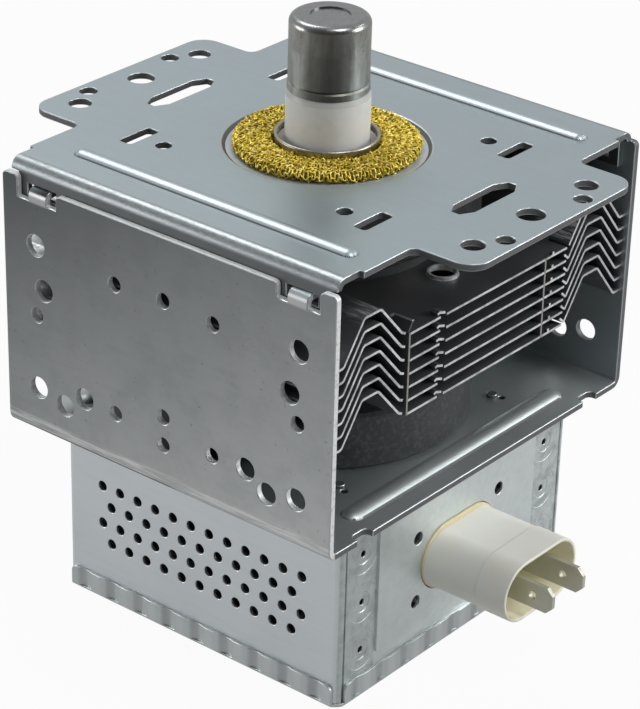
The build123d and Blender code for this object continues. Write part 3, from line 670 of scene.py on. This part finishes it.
@dataclass(frozen=True)
class Ferrite:
    """Dark fired ferrite with a coarse grain, light specks and dull clouds."""

    name: str
    colour: Colour = (0.034, 0.037, 0.041)
    speck: Colour = (0.16, 0.165, 0.17)
    cloud: Colour = (0.075, 0.08, 0.085)
    roughness: float = 0.62
    rough_grain: float = 0.3
    depth: float = 0.05
    specks: Mottle = Mottle(0.9, 0.42, 0.75, 0.4, roughness=0.6)
    clouds: Mottle = Mottle(9.0, 0.45, 0.75, 0.3, detail=2.0)

    def material(self) -> Material:
        """Builds the finish.

        Returns:
            The material.
        """
        look = Look(self.name)
        grain = self.specks.noise(look)
        base = look.blend(self.specks.cut(grain), self.colour, self.speck)
        base = look.blend(self.clouds.mask(look), base, self.cloud)
        look.bump(grain, self.depth)
        return look.finish(Base_Color=base, Roughness=self.roughness + (grain - 0.5) * self.rough_grain)


@dataclass(frozen=True)
class FiredCeramic:
    """White ceramic with faint stains and a band of painted shade under the antenna's cap."""

    name: str
    colour: Colour = (0.74, 0.74, 0.72)
    stain: Colour = (0.56, 0.54, 0.49)
    # painted shade: the band under the cap is darkened against the light that its chamfer catches
    collar: Colour = (0.50, 0.495, 0.475)
    shade_band_foot: Range = (9.0, 9.1)
    roughness: float = 0.42
    rough_grain: float = 0.15
    depth: float = 0.006
    stains: Mottle = Mottle(3.0, 0.5, 0.75, 0.25, roughness=0.6)
    grain: Mottle = Mottle(0.25, detail=2.0)

    def material(self) -> Material:
        """Builds the finish.

        Returns:
            The material.
        """
        look = Look(self.name)
        base = look.blend(self.stains.mask(look), self.colour, self.stain)
        # painted shade on the band under the cap
        base = look.blend(look.axis("Z").ramp(*self.shade_band_foot), base, self.collar)
        grain = self.grain.noise(look)
        look.bump(grain, self.depth)
        return look.finish(Base_Color=base, Roughness=self.roughness + (grain - 0.5) * self.rough_grain)


@dataclass(frozen=True)
class MouldedPlastic:
    """Cream moulding, slightly yellow at the wall, and yellower and painted lighter inside the mouth as
    painted light.
    """

    name: str
    colour: Colour = (0.86, 0.86, 0.80)
    aged: Colour = (0.80, 0.71, 0.45)
    # yellower, and painted lighter as painted light in the mouth's hollow
    inside: Colour = (0.93, 0.89, 0.68)
    collar: Range = (31.9, 31.6)
    collar_aged: float = 0.9
    middle: float = -65.7
    half_span: float = 4.75
    hollow: Range = (5.35, 5.25)
    hollow_floor: Range = (36.3, 37.3)
    roughness: float = 0.46
    rough_grain: float = 0.1
    depth: float = 0.01
    clouds: Mottle = Mottle(5.0, 0.45, 0.8, 0.15)
    grain: Mottle = Mottle(0.4, detail=2.0)

    def material(self) -> Material:
        """Builds the finish.

        Returns:
            The material.
        """
        look = Look(self.name)
        along = look.axis("X")
        base = look.blend(along.ramp(*self.collar) * self.collar_aged, self.colour, self.aged)
        base = look.blend(self.clouds.mask(look), base, self.aged)
        past = abs(look.axis("Y")) - self.half_span
        beyond = (past + abs(past)) * 0.5
        drop = look.axis("Z") - self.middle
        ray = (beyond * beyond + drop * drop) ** 0.5
        # painted light inside the mouth
        base = look.blend(ray.ramp(*self.hollow) * along.ramp(*self.hollow_floor), base, self.inside)
        grain = self.grain.noise(look)
        look.bump(grain, self.depth)
        return look.finish(Base_Color=base, Roughness=self.roughness + (grain - 0.5) * self.rough_grain)


@dataclass(frozen=True)
class DrawnCap:
    """Polished drawn metal with broad soft painted reflections about its axis, a crown painted darker as
    painted shade, clouds, stains and fine lines along its drawing.
    """

    name: str
    colour: Colour = (0.44, 0.438, 0.405)
    # painted shade: the crown is a darker copy of the side's colour
    shaded_crown: Colour = (0.29, 0.30, 0.305)
    # the dark of the painted reflections, and of the clouds
    dark: Colour = (0.10, 0.10, 0.09)
    stain: Colour = (0.13, 0.11, 0.08)
    line_tint: Colour = (0.5, 0.5, 0.5)
    # painted reflection: how many dark bands run round the axis
    reflection_lobes: float = 3.0
    # turns the painted reflection bands so that one faces the camera
    turn: float = -0.9
    reflection_share: float = 0.92
    cloud_share: float = 0.4
    shoulder: Range = (22.5, 21.5)
    neck: Range = (18.2, 17.2)
    neck_dulled: float = 0.14
    roughness: float = 0.23
    rough_lines: float = 0.1
    rough_clouds: float = 0.08
    depth: float = 0.003
    clouds: Mottle = Mottle(2.2, 0.35, 0.7, roughness=0.6, stretch=(1.0, 1.0, 2.5))
    stains: Mottle = Mottle(2.2, 0.46, 0.64, 0.25, detail=4.0, roughness=0.65, stretch=(1.0, 1.0, 2.0))
    lines: Mottle = Mottle(0.8, 0.3, 0.75, 0.35, roughness=0.6, stretch=(1.0, 1.0, 16.0))

    def material(self) -> Material:
        """Builds the finish.

        Returns:
            The material.
        """
        look = Look(self.name)
        z = look.axis("Z")
        side = z.ramp(*self.shoulder)
        # painted shade on the crown
        base = look.blend(side, self.shaded_crown, self.colour)
        # painted reflection: dark bands about the axis
        reflection_lobes = ((look.bearing() - self.turn) * self.reflection_lobes).cosine() * 0.5 + 0.5
        base = look.blend(reflection_lobes * side * self.reflection_share, base, self.dark)
        clouds = self.clouds.mask(look)
        base = look.blend(clouds * side * self.cloud_share, base, self.dark)
        base = look.blend(self.stains.mask(look) * side, base, self.stain)
        lines = self.lines.noise(look)
        base = look.blend(self.lines.cut(lines), base, self.line_tint, Blend.SHADE)
        look.bump(lines * side, self.depth)
        rough = self.roughness + (lines - 0.5) * self.rough_lines + clouds * self.rough_clouds
        rough = rough + z.ramp(*self.neck) * self.neck_dulled
        return look.finish(Base_Color=base, Metallic=1.0, Roughness=rough)


@dataclass(frozen=True)
class KnittedBrass:
    """Brass-coloured knitting wire."""

    name: str
    colour: Colour = (0.52, 0.37, 0.025)
    bright: Colour = (0.95, 0.77, 0.15)
    metallic: float = 0.8
    roughness: float = 0.36
    patches: Mottle = Mottle(1.2, 0.35, 0.65, detail=2.0)

    def material(self) -> Material:
        """Builds the finish.

        Returns:
            The material.
        """
        look = Look(self.name)
        base = look.blend(self.patches.mask(look), self.colour, self.bright)
        return look.finish(Base_Color=base, Metallic=self.metallic, Roughness=self.roughness)


class Finish(Enum):
    """Every finish on the magnetron. Its material's name is its slot."""

    PLATE = PlateSheet("plate_steel", (0.42, 0.49, 0.52), roughness=0.38)
    YOKE = YokeSheet("yoke_steel", (0.74, 0.80, 0.81), roughness=0.42, clouded=0.2)
    BOX = BoxSheet("box_steel", (0.79, 0.85, 0.85), roughness=0.46)
    COVER = CoverSheet("cover_steel", (0.56, 0.60, 0.60))
    RUBBED = ZincSheet("rubbed_edge", (0.48, 0.51, 0.52), roughness=0.38)
    SHEARED = ShearedEdge("sheared_edge", (0.13, 0.135, 0.14), roughness=0.5, metallic=0.3)
    # painted shade: the fins' faces are coloured dark; their edges keep the aluminium's bright colour
    FIN = FinStock("fin_aluminium", (0.115, 0.12, 0.124), roughness=0.42, metallic=0.45)
    MAGNET = Ferrite("magnet_ferrite")
    CORE = Ferrite("core_ferrite")
    # painted shade: the copper inside is coloured dark, as it sits in shade
    COPPER_IN_SHADE = PlainMetal("copper", (0.20, 0.155, 0.13), roughness=0.5)
    IRON = PlainMetal("inner_iron", (0.40, 0.41, 0.41), roughness=0.45)
    SEAL = PlainMetal("seal_metal", (0.38, 0.37, 0.335), roughness=0.3, depth=0.001)
    CERAMIC = FiredCeramic("white_ceramic")
    TUNGSTEN = PlainMetal("tungsten", (0.2, 0.2, 0.205), roughness=0.5)
    CAP = DrawnCap("cap_metal")
    PLASTIC = MouldedPlastic("connector_plastic")
    BLADE = PlainMetal(
        "blade_metal", (0.60, 0.60, 0.52), roughness=0.56, depth=0.01, grain_size=0.8, metallic=0.8,
    )
    COIL = PlainMetal("coil_wire", (0.42, 0.16, 0.06))
    KNIT = KnittedBrass("gasket_wire")
    # painted shade: a dark ring under the loops stands for the shade between them
    KNIT_SHADE = KnittedBrass(
        "gasket_core_shade", (0.11, 0.08, 0.018), (0.22, 0.16, 0.035), metallic=0.0, roughness=0.95,
    )

    def slot(self) -> str:
        """The finish's material name, used as its slot."""
        return self.value.name


WORN = {
    Finish.PLATE: ["mounting_plate"],
    Finish.YOKE: ["lower_yoke"],
    Finish.BOX: ["filter_box"],
    Finish.COVER: ["filter_box_cover"],
    Finish.KNIT: ["rf_gasket"],
    Finish.MAGNET: ["top_magnet", "bottom_magnet"],
    Finish.COPPER_IN_SHADE: ["anode_cylinder", "strap_rings", "exhaust_tube", "antenna_lead"],
    Finish.IRON: ["upper_pole_piece", "lower_pole_piece", "ground_plate"],
    Finish.SEAL: ["antenna_seal", "stem_seal", "exhaust_seal"],
    Finish.CERAMIC: ["stem_ceramic", "output_ceramic"],
    Finish.TUNGSTEN: ["cathode_filament", "upper_end_hat", "lower_end_hat", "centre_lead", "side_lead"],
    Finish.CAP: ["antenna_cap"],
    Finish.FIN: [f"cooling_fin_{number}" for number in range(1, 8)],
    Finish.PLASTIC: ["connector_housing"],
    Finish.BLADE: ["blade_terminal_near", "blade_terminal_far"],
    Finish.COIL: ["choke_coil_near", "choke_coil_far"],
    Finish.CORE: ["ferrite_core_near", "ferrite_core_far"],
}


@dataclass
class Wardrobe:
    """Makes each finish once and dresses pieces in it."""

    made: dict[Finish, Material] = field(default_factory=dict)

    def material(self, finish: Finish) -> Material:
        """The material of a finish.

        Args:
            finish: Which finish.

        Returns:
            The material, made at the first call.
        """
        if finish not in self.made:
            self.made[finish] = finish.value.material()
        return self.made[finish]

    def dress(self, piece: Piece, finish: Finish) -> None:
        """Puts a finish on every face of a piece.

        Args:
            piece: A CAD node or a new piece.
            finish: Which finish.
        """
        material = self.material(finish)
        if not piece.material_slots:
            piece.data.materials.append(material)
        for place in piece.material_slots:
            place.material = material

    def dress_nodes(self, finish: Finish, names: Iterable[str]) -> None:
        """Puts a finish on CAD nodes that stay as they are.

        Args:
            finish: Which finish.
            names: The nodes.
        """
        for name in names:
            self.dress(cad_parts[name], finish)
            log.info("%s finished as %s", name, finish.slot())


def flatten(piece: Piece) -> None:
    """Turns a piece's live modifiers into a plain mesh.

    Args:
        piece: A linked object with modifiers.
    """
    view = bpy.context.evaluated_depsgraph_get()
    plain = bpy.data.meshes.new_from_object(piece.evaluated_get(view))
    piece.modifiers.clear()
    piece.data = plain


def linked(name: str, mesh: bpy.types.Mesh) -> Piece:
    """Puts a mesh into the scene.

    Args:
        name: The object's name.
        mesh: Its mesh.

    Returns:
        The object.
    """
    piece = bpy.data.objects.new(name, mesh)
    bpy.context.scene.collection.objects.link(piece)
    return piece


def stand_for(piece: Piece, node: str) -> None:
    """Makes a piece ride on the body and stand for a CAD node.

    Args:
        piece: The new piece.
        node: The CAD node that it replaces.
    """
    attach(piece, "root")
    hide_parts(node)
    log.info("%s stands for %s, %d faces", piece.name, node, len(piece.data.polygons))


@dataclass
class EasedPiece:
    """A merged copy of a CAD node with eased, rubbed edges and its sheared faces told apart."""

    node: str
    finish: Finish
    ease: float
    rubbed: Finish | None = None
    sheared: Finish | None = None
    gauge: float = 1.2
    gauge_slack: float = 1.15
    steps: int = 2
    sharp: float = math.radians(38.0)
    flat: float = math.radians(0.4)
    joined: float = 1e-6

    def build(self, wardrobe: Wardrobe) -> None:
        """Builds and dresses the piece.

        Args:
            wardrobe: Where the finishes come from.
        """
        piece = linked(f"{self.node}_eased", self._merged())
        for finish in (self.finish, self.rubbed or self.finish, self.sheared or self.finish):
            piece.data.materials.append(wardrobe.material(finish))
        bevel = piece.modifiers.new("ease", "BEVEL")
        bevel.limit_method = "WEIGHT"
        bevel.width = self.ease * MM
        bevel.segments = self.steps
        bevel.use_clamp_overlap = False
        bevel.loop_slide = False
        bevel.material = 1
        shading = piece.modifiers.new("shading", "WEIGHTED_NORMAL")
        shading.weight = 100
        shading.keep_sharp = True
        flatten(piece)
        stand_for(piece, self.node)

    def _merged(self) -> bpy.types.Mesh:
        """Joins the node's loose triangles and flat faces, and marks its sheared faces and keen edges.

        Returns:
            The merged mesh.
        """
        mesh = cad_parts[self.node].data.copy()
        mesh.materials.clear()
        body = bmesh.new()
        body.from_mesh(mesh)
        bmesh.ops.remove_doubles(body, verts=body.verts, dist=self.joined)
        bmesh.ops.dissolve_limit(body, angle_limit=self.flat, verts=body.verts, edges=body.edges)
        for face in body.faces:
            face.smooth = True
            face.material_index = 2 if self._is_sheared(face) else 0
        weight = body.edges.layers.float.new("bevel_weight_edge")
        for edge in body.edges:
            keen = self._is_keen(edge)
            edge.smooth = not keen
            edge[weight] = float(keen and edge.is_convex)
        body.to_mesh(mesh)
        body.free()
        return mesh

    def _is_keen(self, edge: bmesh.types.BMEdge) -> bool:
        """Tells an edge where two faces meet at a sharp angle."""
        return len(edge.link_faces) == 2 and edge.calc_face_angle() > self.sharp

    def _is_sheared(self, face: bmesh.types.BMFace) -> bool:
        """Tells a sheared face, as narrow between its sharp edges as the sheet is thick.

        Args:
            face: A face of the merged body.

        Returns:
            True for a sheared face.
        """
        keen = sum(edge.calc_length() for edge in face.edges if self._is_keen(edge))
        return 2.0 * face.calc_area() < self.gauge_slack * self.gauge * MM * keen


class Knitting(Tree):
    """A Geometry Nodes tree with named inputs that shapes a piece."""

    def __init__(self, name: str, inputs: Mapping[str, float]) -> None:
        """Starts the tree with its inputs and its one output.

        Args:
            name: The tree's name.
            inputs: Each input's value by its name, a whole number for a count.
        """
        super().__init__(bpy.data.node_groups.new(name, "GeometryNodeTree"))
        self.values: dict[str, float] = {}
        for label, value in inputs.items():
            kind = "NodeSocketInt" if isinstance(value, int) else "NodeSocketFloat"
            socket = self.nodes.interface.new_socket(label, in_out="INPUT", socket_type=kind)
            self.values[socket.identifier] = value
        self.nodes.interface.new_socket("Geometry", in_out="OUTPUT", socket_type="NodeSocketGeometry")
        self.given = self.node("NodeGroupInput").outputs

    def __getitem__(self, label: str) -> Value:
        """The input of that name."""
        return Value(self, self.given[label])

    def shape(self, piece: Piece) -> None:
        """Turns a piece into the plain mesh that the tree makes.

        Args:
            piece: A linked object.
        """
        modifier = piece.modifiers.new("knit", "NODES")
        modifier.node_group = self.nodes
        for identifier, value in self.values.items():
            modifier[identifier] = value
        flatten(piece)


@dataclass
class KnittedGasket:
    """A flat ring of knitted wire round the antenna's seal, made by Geometry Nodes."""

    radius: float = 12.52
    width: float = 6.5
    height: float = 1.5
    middle: float = 0.42
    corner: float = 0.72
    corner_points: int = 6
    core_share: float = 0.95
    core_points: int = 96
    stitches: int = 76
    courses: int = 13
    points: int = 10
    wire: float = 0.17
    wire_sides: int = 4
    loop_reach: float = 0.8
    loop_lean: float = 0.55
    loop_lift: float = 0.12
    tumble: float = 0.52
    tumble_scale: float = 900.0

    def build(self, wardrobe: Wardrobe) -> None:
        """Builds and dresses the ring, as a plain mesh.

        Args:
            wardrobe: Where the finishes come from.
        """
        knit = Knitting("knitted_ring", {
            "Radius": self.radius * MM, "Width": self.width * MM, "Height": self.height * MM,
            "Middle": self.middle * MM, "Corner": self.corner * MM, "Wire": self.wire * MM,
            "Lift": self.loop_lift * MM, "Tumble": self.tumble * MM,
            "Stitches": self.stitches, "Courses": self.courses, "Points": self.points,
        })
        self._knit(knit, wardrobe)
        ring = linked("knitted_gasket", bpy.data.meshes.new("knitted_gasket"))
        knit.shape(ring)
        stand_for(ring, "rf_gasket")

    def _knit(self, knit: Knitting, wardrobe: Wardrobe) -> None:
        """Fills the tree: courses of looped wire over a core, with their materials.

        Args:
            knit: The ring's tree.
            wardrobe: Where the finishes come from.
        """
        looped = self._looped(knit, self._courses(knit), self._section(knit))
        thread = knit.node("GeometryNodeCurvePrimitiveCircle", {}, {
            "Resolution": self.wire_sides, "Radius": knit["Wire"],
        })
        wire = knit.node("GeometryNodeCurveToMesh", {}, {"Curve": looped, "Profile Curve": thread})
        both = knit.node("GeometryNodeJoinGeometry")
        core = self._core(knit)
        for mesh, finish in ((core, Finish.KNIT_SHADE), (wire, Finish.KNIT)):
            dressed = knit.node("GeometryNodeSetMaterial", {}, {
                "Geometry": mesh, "Material": wardrobe.material(finish),
            })
            knit.feed(both.inputs[0], dressed)
        smooth = knit.node("GeometryNodeSetShadeSmooth", {}, {"Geometry": both})
        knit.node("NodeGroupOutput", {}, {0: smooth})

    def _section(self, knit: Knitting, share: float = 1.0) -> Node:
        """The ring's rounded section as a flat curve.

        Args:
            knit: The ring's tree.
            share: Size of the section as a share of the ring's own.

        Returns:
            The curve.
        """
        box = knit.node("GeometryNodeCurvePrimitiveQuadrilateral", {}, {
            "Width": knit["Width"] * share, "Height": knit["Height"] * share,
        })
        return knit.node("GeometryNodeFilletCurve", {"mode": "POLY"}, {
            "Curve": box, "Radius": knit["Corner"], "Count": self.corner_points, "Limit Radius": True,
        })

    def _core(self, knit: Knitting) -> Node:
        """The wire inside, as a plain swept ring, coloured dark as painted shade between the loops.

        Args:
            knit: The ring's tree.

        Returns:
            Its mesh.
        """
        path = knit.node("GeometryNodeCurvePrimitiveCircle", {}, {
            "Resolution": self.core_points, "Radius": knit["Radius"],
        })
        inner = self._section(knit, self.core_share)
        swept = knit.node("GeometryNodeCurveToMesh", {}, {"Curve": path, "Profile Curve": inner})
        lift = knit.node("ShaderNodeCombineXYZ", {}, {"Z": knit["Middle"]})
        return knit.node("GeometryNodeSetPosition", {}, {"Geometry": swept, "Offset": lift})

    def _courses(self, knit: Knitting) -> Node:
        """One closed curve for each course, numbered by the attribute course.

        Args:
            knit: The ring's tree.

        Returns:
            The curves, still round and in one place.
        """
        circle = knit.node("GeometryNodeCurvePrimitiveCircle", {}, {
            "Resolution": knit["Stitches"] * knit["Points"], "Radius": knit["Radius"],
        })
        rows = knit.node("GeometryNodeMeshLine", {}, {"Count": knit["Courses"], "Offset": (0.0, 0.0, 0.0)})
        copies = knit.node("GeometryNodeInstanceOnPoints", {}, {"Points": rows, "Instance": circle})
        settings = {"data_type": "FLOAT", "domain": "INSTANCE"}
        numbered = knit.node("GeometryNodeStoreNamedAttribute", settings, {
            "Geometry": copies, "Name": "course", "Value": knit.node("GeometryNodeInputIndex"),
        })
        return knit.node("GeometryNodeRealizeInstances", {}, {0: numbered})

    def _looped(self, knit: Knitting, courses: Node, section: Node) -> Node:
        """Bends each course into linked loops that lie on the section.

        Args:
            knit: The ring's tree.
            courses: The round curves.
            section: The ring's section.

        Returns:
            The looped curves.
        """
        named = knit.node("GeometryNodeInputNamedAttribute", {"data_type": "FLOAT"}, {"Name": "course"})
        course = Value(knit, named.outputs[0])
        factor = Value(knit, knit.node("GeometryNodeSplineParameter").outputs["Factor"])
        phase = factor * knit["Stitches"] * math.tau
        bearing = (phase + (phase * 2.0).sine() * self.loop_lean) / knit["Stitches"]
        across = (course + 0.5 + phase.cosine() * self.loop_reach) / knit["Courses"]
        found = knit.node("GeometryNodeSampleCurve", {"mode": "FACTOR", "use_all_curves": True}, {
            "Curves": section, "Factor": (across + 1.0).fraction(),
        })
        spot = knit.node("ShaderNodeSeparateXYZ", {}, {0: found.outputs["Position"]}).outputs
        run = knit.node("ShaderNodeSeparateXYZ", {}, {0: found.outputs["Tangent"]}).outputs
        spot_x, spot_y = Value(knit, spot[0]), Value(knit, spot[1])
        out_x, out_y = Value(knit, run[1]), Value(knit, run[0]) * -1.0
        facing = (spot_x * out_x + spot_y * out_y).sign()
        lift = (phase * 2.0).cosine() * knit["Lift"] * facing
        reach = spot_x + out_x * lift + knit["Radius"]
        height = spot_y + out_y * lift + knit["Middle"]
        place = knit.node("ShaderNodeCombineXYZ", {}, {
            "X": reach * bearing.cosine(), "Y": reach * bearing.sine(), "Z": height,
        })
        moved = knit.node("GeometryNodeSetPosition", {}, {"Geometry": courses, "Position": place})
        return self._tumbled(knit, moved)

    def _tumbled(self, knit: Knitting, loops: Node) -> Node:
        """Pushes the loops about, so that no two lie alike.

        Args:
            knit: The ring's tree.
            loops: The looped curves.

        Returns:
            The uneven curves.
        """
        noise = knit.node("ShaderNodeTexNoise", {}, {
            "Vector": knit.node("GeometryNodeInputPosition"), "Scale": self.tumble_scale, "Detail": 1.0,
        })
        level = knit.node("ShaderNodeVectorMath", {"operation": "SUBTRACT"}, {
            0: noise.outputs["Color"], 1: (0.5, 0.5, 0.5),
        })
        push = knit.node("ShaderNodeVectorMath", {"operation": "SCALE"}, {
            0: level, "Scale": knit["Tumble"] * 2.0,
        })
        return knit.node("GeometryNodeSetPosition", {}, {"Geometry": loops, "Offset": push})


@dataclass(frozen=True)
class Lamp:
    """A square soft lamp, with its place and side in metres and its power in watts."""

    name: str
    place: Point
    side: float
    power: float

    def hang(self, target: Point) -> None:
        """Hangs the lamp and turns it.

        Args:
            target: The point that it faces.
        """
        data = bpy.data.lights.new(self.name, "AREA")
        data.size = self.side
        data.energy = self.power
        lamp = bpy.data.objects.new(self.name, data)
        lamp.location = self.place
        lamp.rotation_mode = "QUATERNION"
        lamp.rotation_quaternion = (Vector(target) - Vector(self.place)).to_track_quat("-Z", "Y")
        bpy.context.scene.collection.objects.link(lamp)


@dataclass
class Studio:
    """Camera, floor, room and lamps."""

    camera_at: Point = (0.28046, -0.35011, 0.19288)
    right: Point = (0.7739, 0.6328, 0.0262)
    down: Point = (0.3311, -0.3690, -0.8685)
    sensor: float = 36.0
    lens: float = 163.5
    shift: Range = (-0.0161, 0.1798)
    clip: Range = (0.01, 50.0)
    floor_level: float = -0.0839
    floor_size: float = 6.0
    floor_pale: float = 0.55
    floor_rough: float = 0.9
    floor_shown: float = 0.95
    floor_mirrored: float = 0.55
    ambient: float = 0.22
    room_dark: float = 0.16
    room_light: float = 0.66
    dark_side: Point = (0.62, -0.78, 0.1)
    dark_edge: Range = (-0.35, 0.75)
    lit_point: Point = (0.0, 0.0, -0.03)
    lamps: tuple[Lamp, ...] = (
        Lamp("overhead", (-0.42, 0.12, 0.62), 0.3, 1.6),
        Lamp("top", (0.38, -0.02, 0.75), 0.35, 2.1),
        Lamp("right", (0.62, 0.44, 0.26), 0.4, 3.0),
        Lamp("back", (0.30, 0.64, 0.56), 0.15, 0.5),
        Lamp("left", (-0.62, -0.50, 0.04), 0.35, 2.4),
    )

    def build(self) -> None:
        """Builds the whole studio."""
        self._camera()
        self._floor()
        self._world()
        for lamp in self.lamps:
            lamp.hang(self.lit_point)
        bpy.context.scene.view_settings.view_transform = "Standard"

    def _camera(self) -> None:
        """Places the camera at the photograph's viewpoint."""
        data = bpy.data.cameras.new("camera")
        data.sensor_fit = "HORIZONTAL"
        data.sensor_width = self.sensor
        data.lens = self.lens
        data.shift_x, data.shift_y = self.shift
        data.clip_start, data.clip_end = self.clip
        camera = bpy.data.objects.new("camera", data)
        across = Vector(self.right).normalized()
        up = -Vector(self.down).normalized()
        back = across.cross(up).normalized()
        up = back.cross(across)
        turn = Matrix((across, up, back)).transposed()
        camera.matrix_world = Matrix.Translation(self.camera_at) @ turn.to_4x4()
        bpy.context.scene.collection.objects.link(camera)
        bpy.context.scene.camera = camera

    @staticmethod
    def _rays(tree: Tree) -> tuple[Value, Value]:
        """Tells the rays that see a surface straight from those that see it in metal or glass.

        Args:
            tree: The surface's tree.

        Returns:
            1 for a camera ray, and 1 for a mirrored or transmitted ray.
        """
        path = tree.node("ShaderNodeLightPath").outputs
        mirrored = Value(tree, path["Is Glossy Ray"]) + Value(tree, path["Is Transmission Ray"])
        return Value(tree, path["Is Camera Ray"]), mirrored.clamped()

    def _floor(self) -> None:
        """Lays a pale floor that is plain white to the camera and keeps a soft shadow."""
        half = self.floor_size / 2
        corners = [(-half, -half), (half, -half), (half, half), (-half, half)]
        mesh = bpy.data.meshes.new("floor")
        mesh.from_pydata([(x, y, self.floor_level) for x, y in corners], [], [(0, 1, 2, 3)])
        look = Look("pale_floor")
        look.finish(Base_Color=(self.floor_pale,) * 3, Roughness=self.floor_rough)
        camera, mirror = self._rays(look)
        glow = camera + mirror * self.floor_mirrored
        bright = look.node("ShaderNodeEmission", {}, {"Color": (1.0, 1.0, 1.0), "Strength": glow})
        mixed = look.node("ShaderNodeMixShader", {}, {
            0: (camera + mirror).clamped() * self.floor_shown,
            1: look.shader,
            2: bright,
        })
        look.feed(look.nodes.nodes["Material Output"].inputs["Surface"], mixed)
        mesh.materials.append(look.material)
        floor = linked("floor", mesh)

    def _world(self) -> None:
        """Sets a room that is white behind the magnetron and dim on the near side."""
        world = bpy.data.worlds.new("room")
        world.use_nodes = True
        bpy.context.scene.world = world
        tree = Tree(world.node_tree)
        toward = tree.node("ShaderNodeTexCoord").outputs["Generated"]
        facing = tree.node("ShaderNodeVectorMath", {"operation": "DOT_PRODUCT"}, {
            0: toward, 1: self.dark_side,
        })
        dim = Value(tree, facing.outputs["Value"]).ramp(*self.dark_edge)
        room = dim * (self.room_dark - self.room_light) + self.room_light
        camera, mirror = self._rays(tree)
        plain = (1.0 - (camera + mirror)).clamped()
        background = world.node_tree.nodes["Background"]
        tree.feed(background.inputs["Color"], (1.0, 1.0, 1.0))
        tree.feed(background.inputs["Strength"], camera + mirror * room + plain * self.ambient)


@dataclass
class Magnetron:
    """The whole object: its new pieces and its dressed CAD nodes."""

    wardrobe: Wardrobe = field(default_factory=Wardrobe)
    gasket: KnittedGasket = field(default_factory=KnittedGasket)
    eased: tuple[EasedPiece, ...] = (
        EasedPiece("mounting_plate", Finish.PLATE, 0.14, rubbed=Finish.RUBBED, sheared=Finish.SHEARED),
        EasedPiece("lower_yoke", Finish.YOKE, 0.14, rubbed=Finish.RUBBED, sheared=Finish.SHEARED),
        EasedPiece("filter_box_cover", Finish.COVER, 0.08, gauge=0.6),
        EasedPiece("filter_box", Finish.BOX, 0.1, gauge=0.6),
        EasedPiece("connector_housing", Finish.PLASTIC, 0.16),
        EasedPiece("antenna_seal", Finish.SEAL, 0.24),
    )

    def build(self) -> None:
        """Builds the new pieces and dresses the CAD nodes."""
        for eased in self.eased:
            eased.build(self.wardrobe)
        self.gasket.build(self.wardrobe)
        for finish, names in WORN.items():
            self.wardrobe.dress_nodes(finish, names)


def main() -> None:
    """Builds the looks in order."""
    logging.basicConfig(level=logging.INFO, format="%(name)s: %(message)s")
    Studio().build()
    Magnetron().build()


if __name__ == "__main__":
    main()
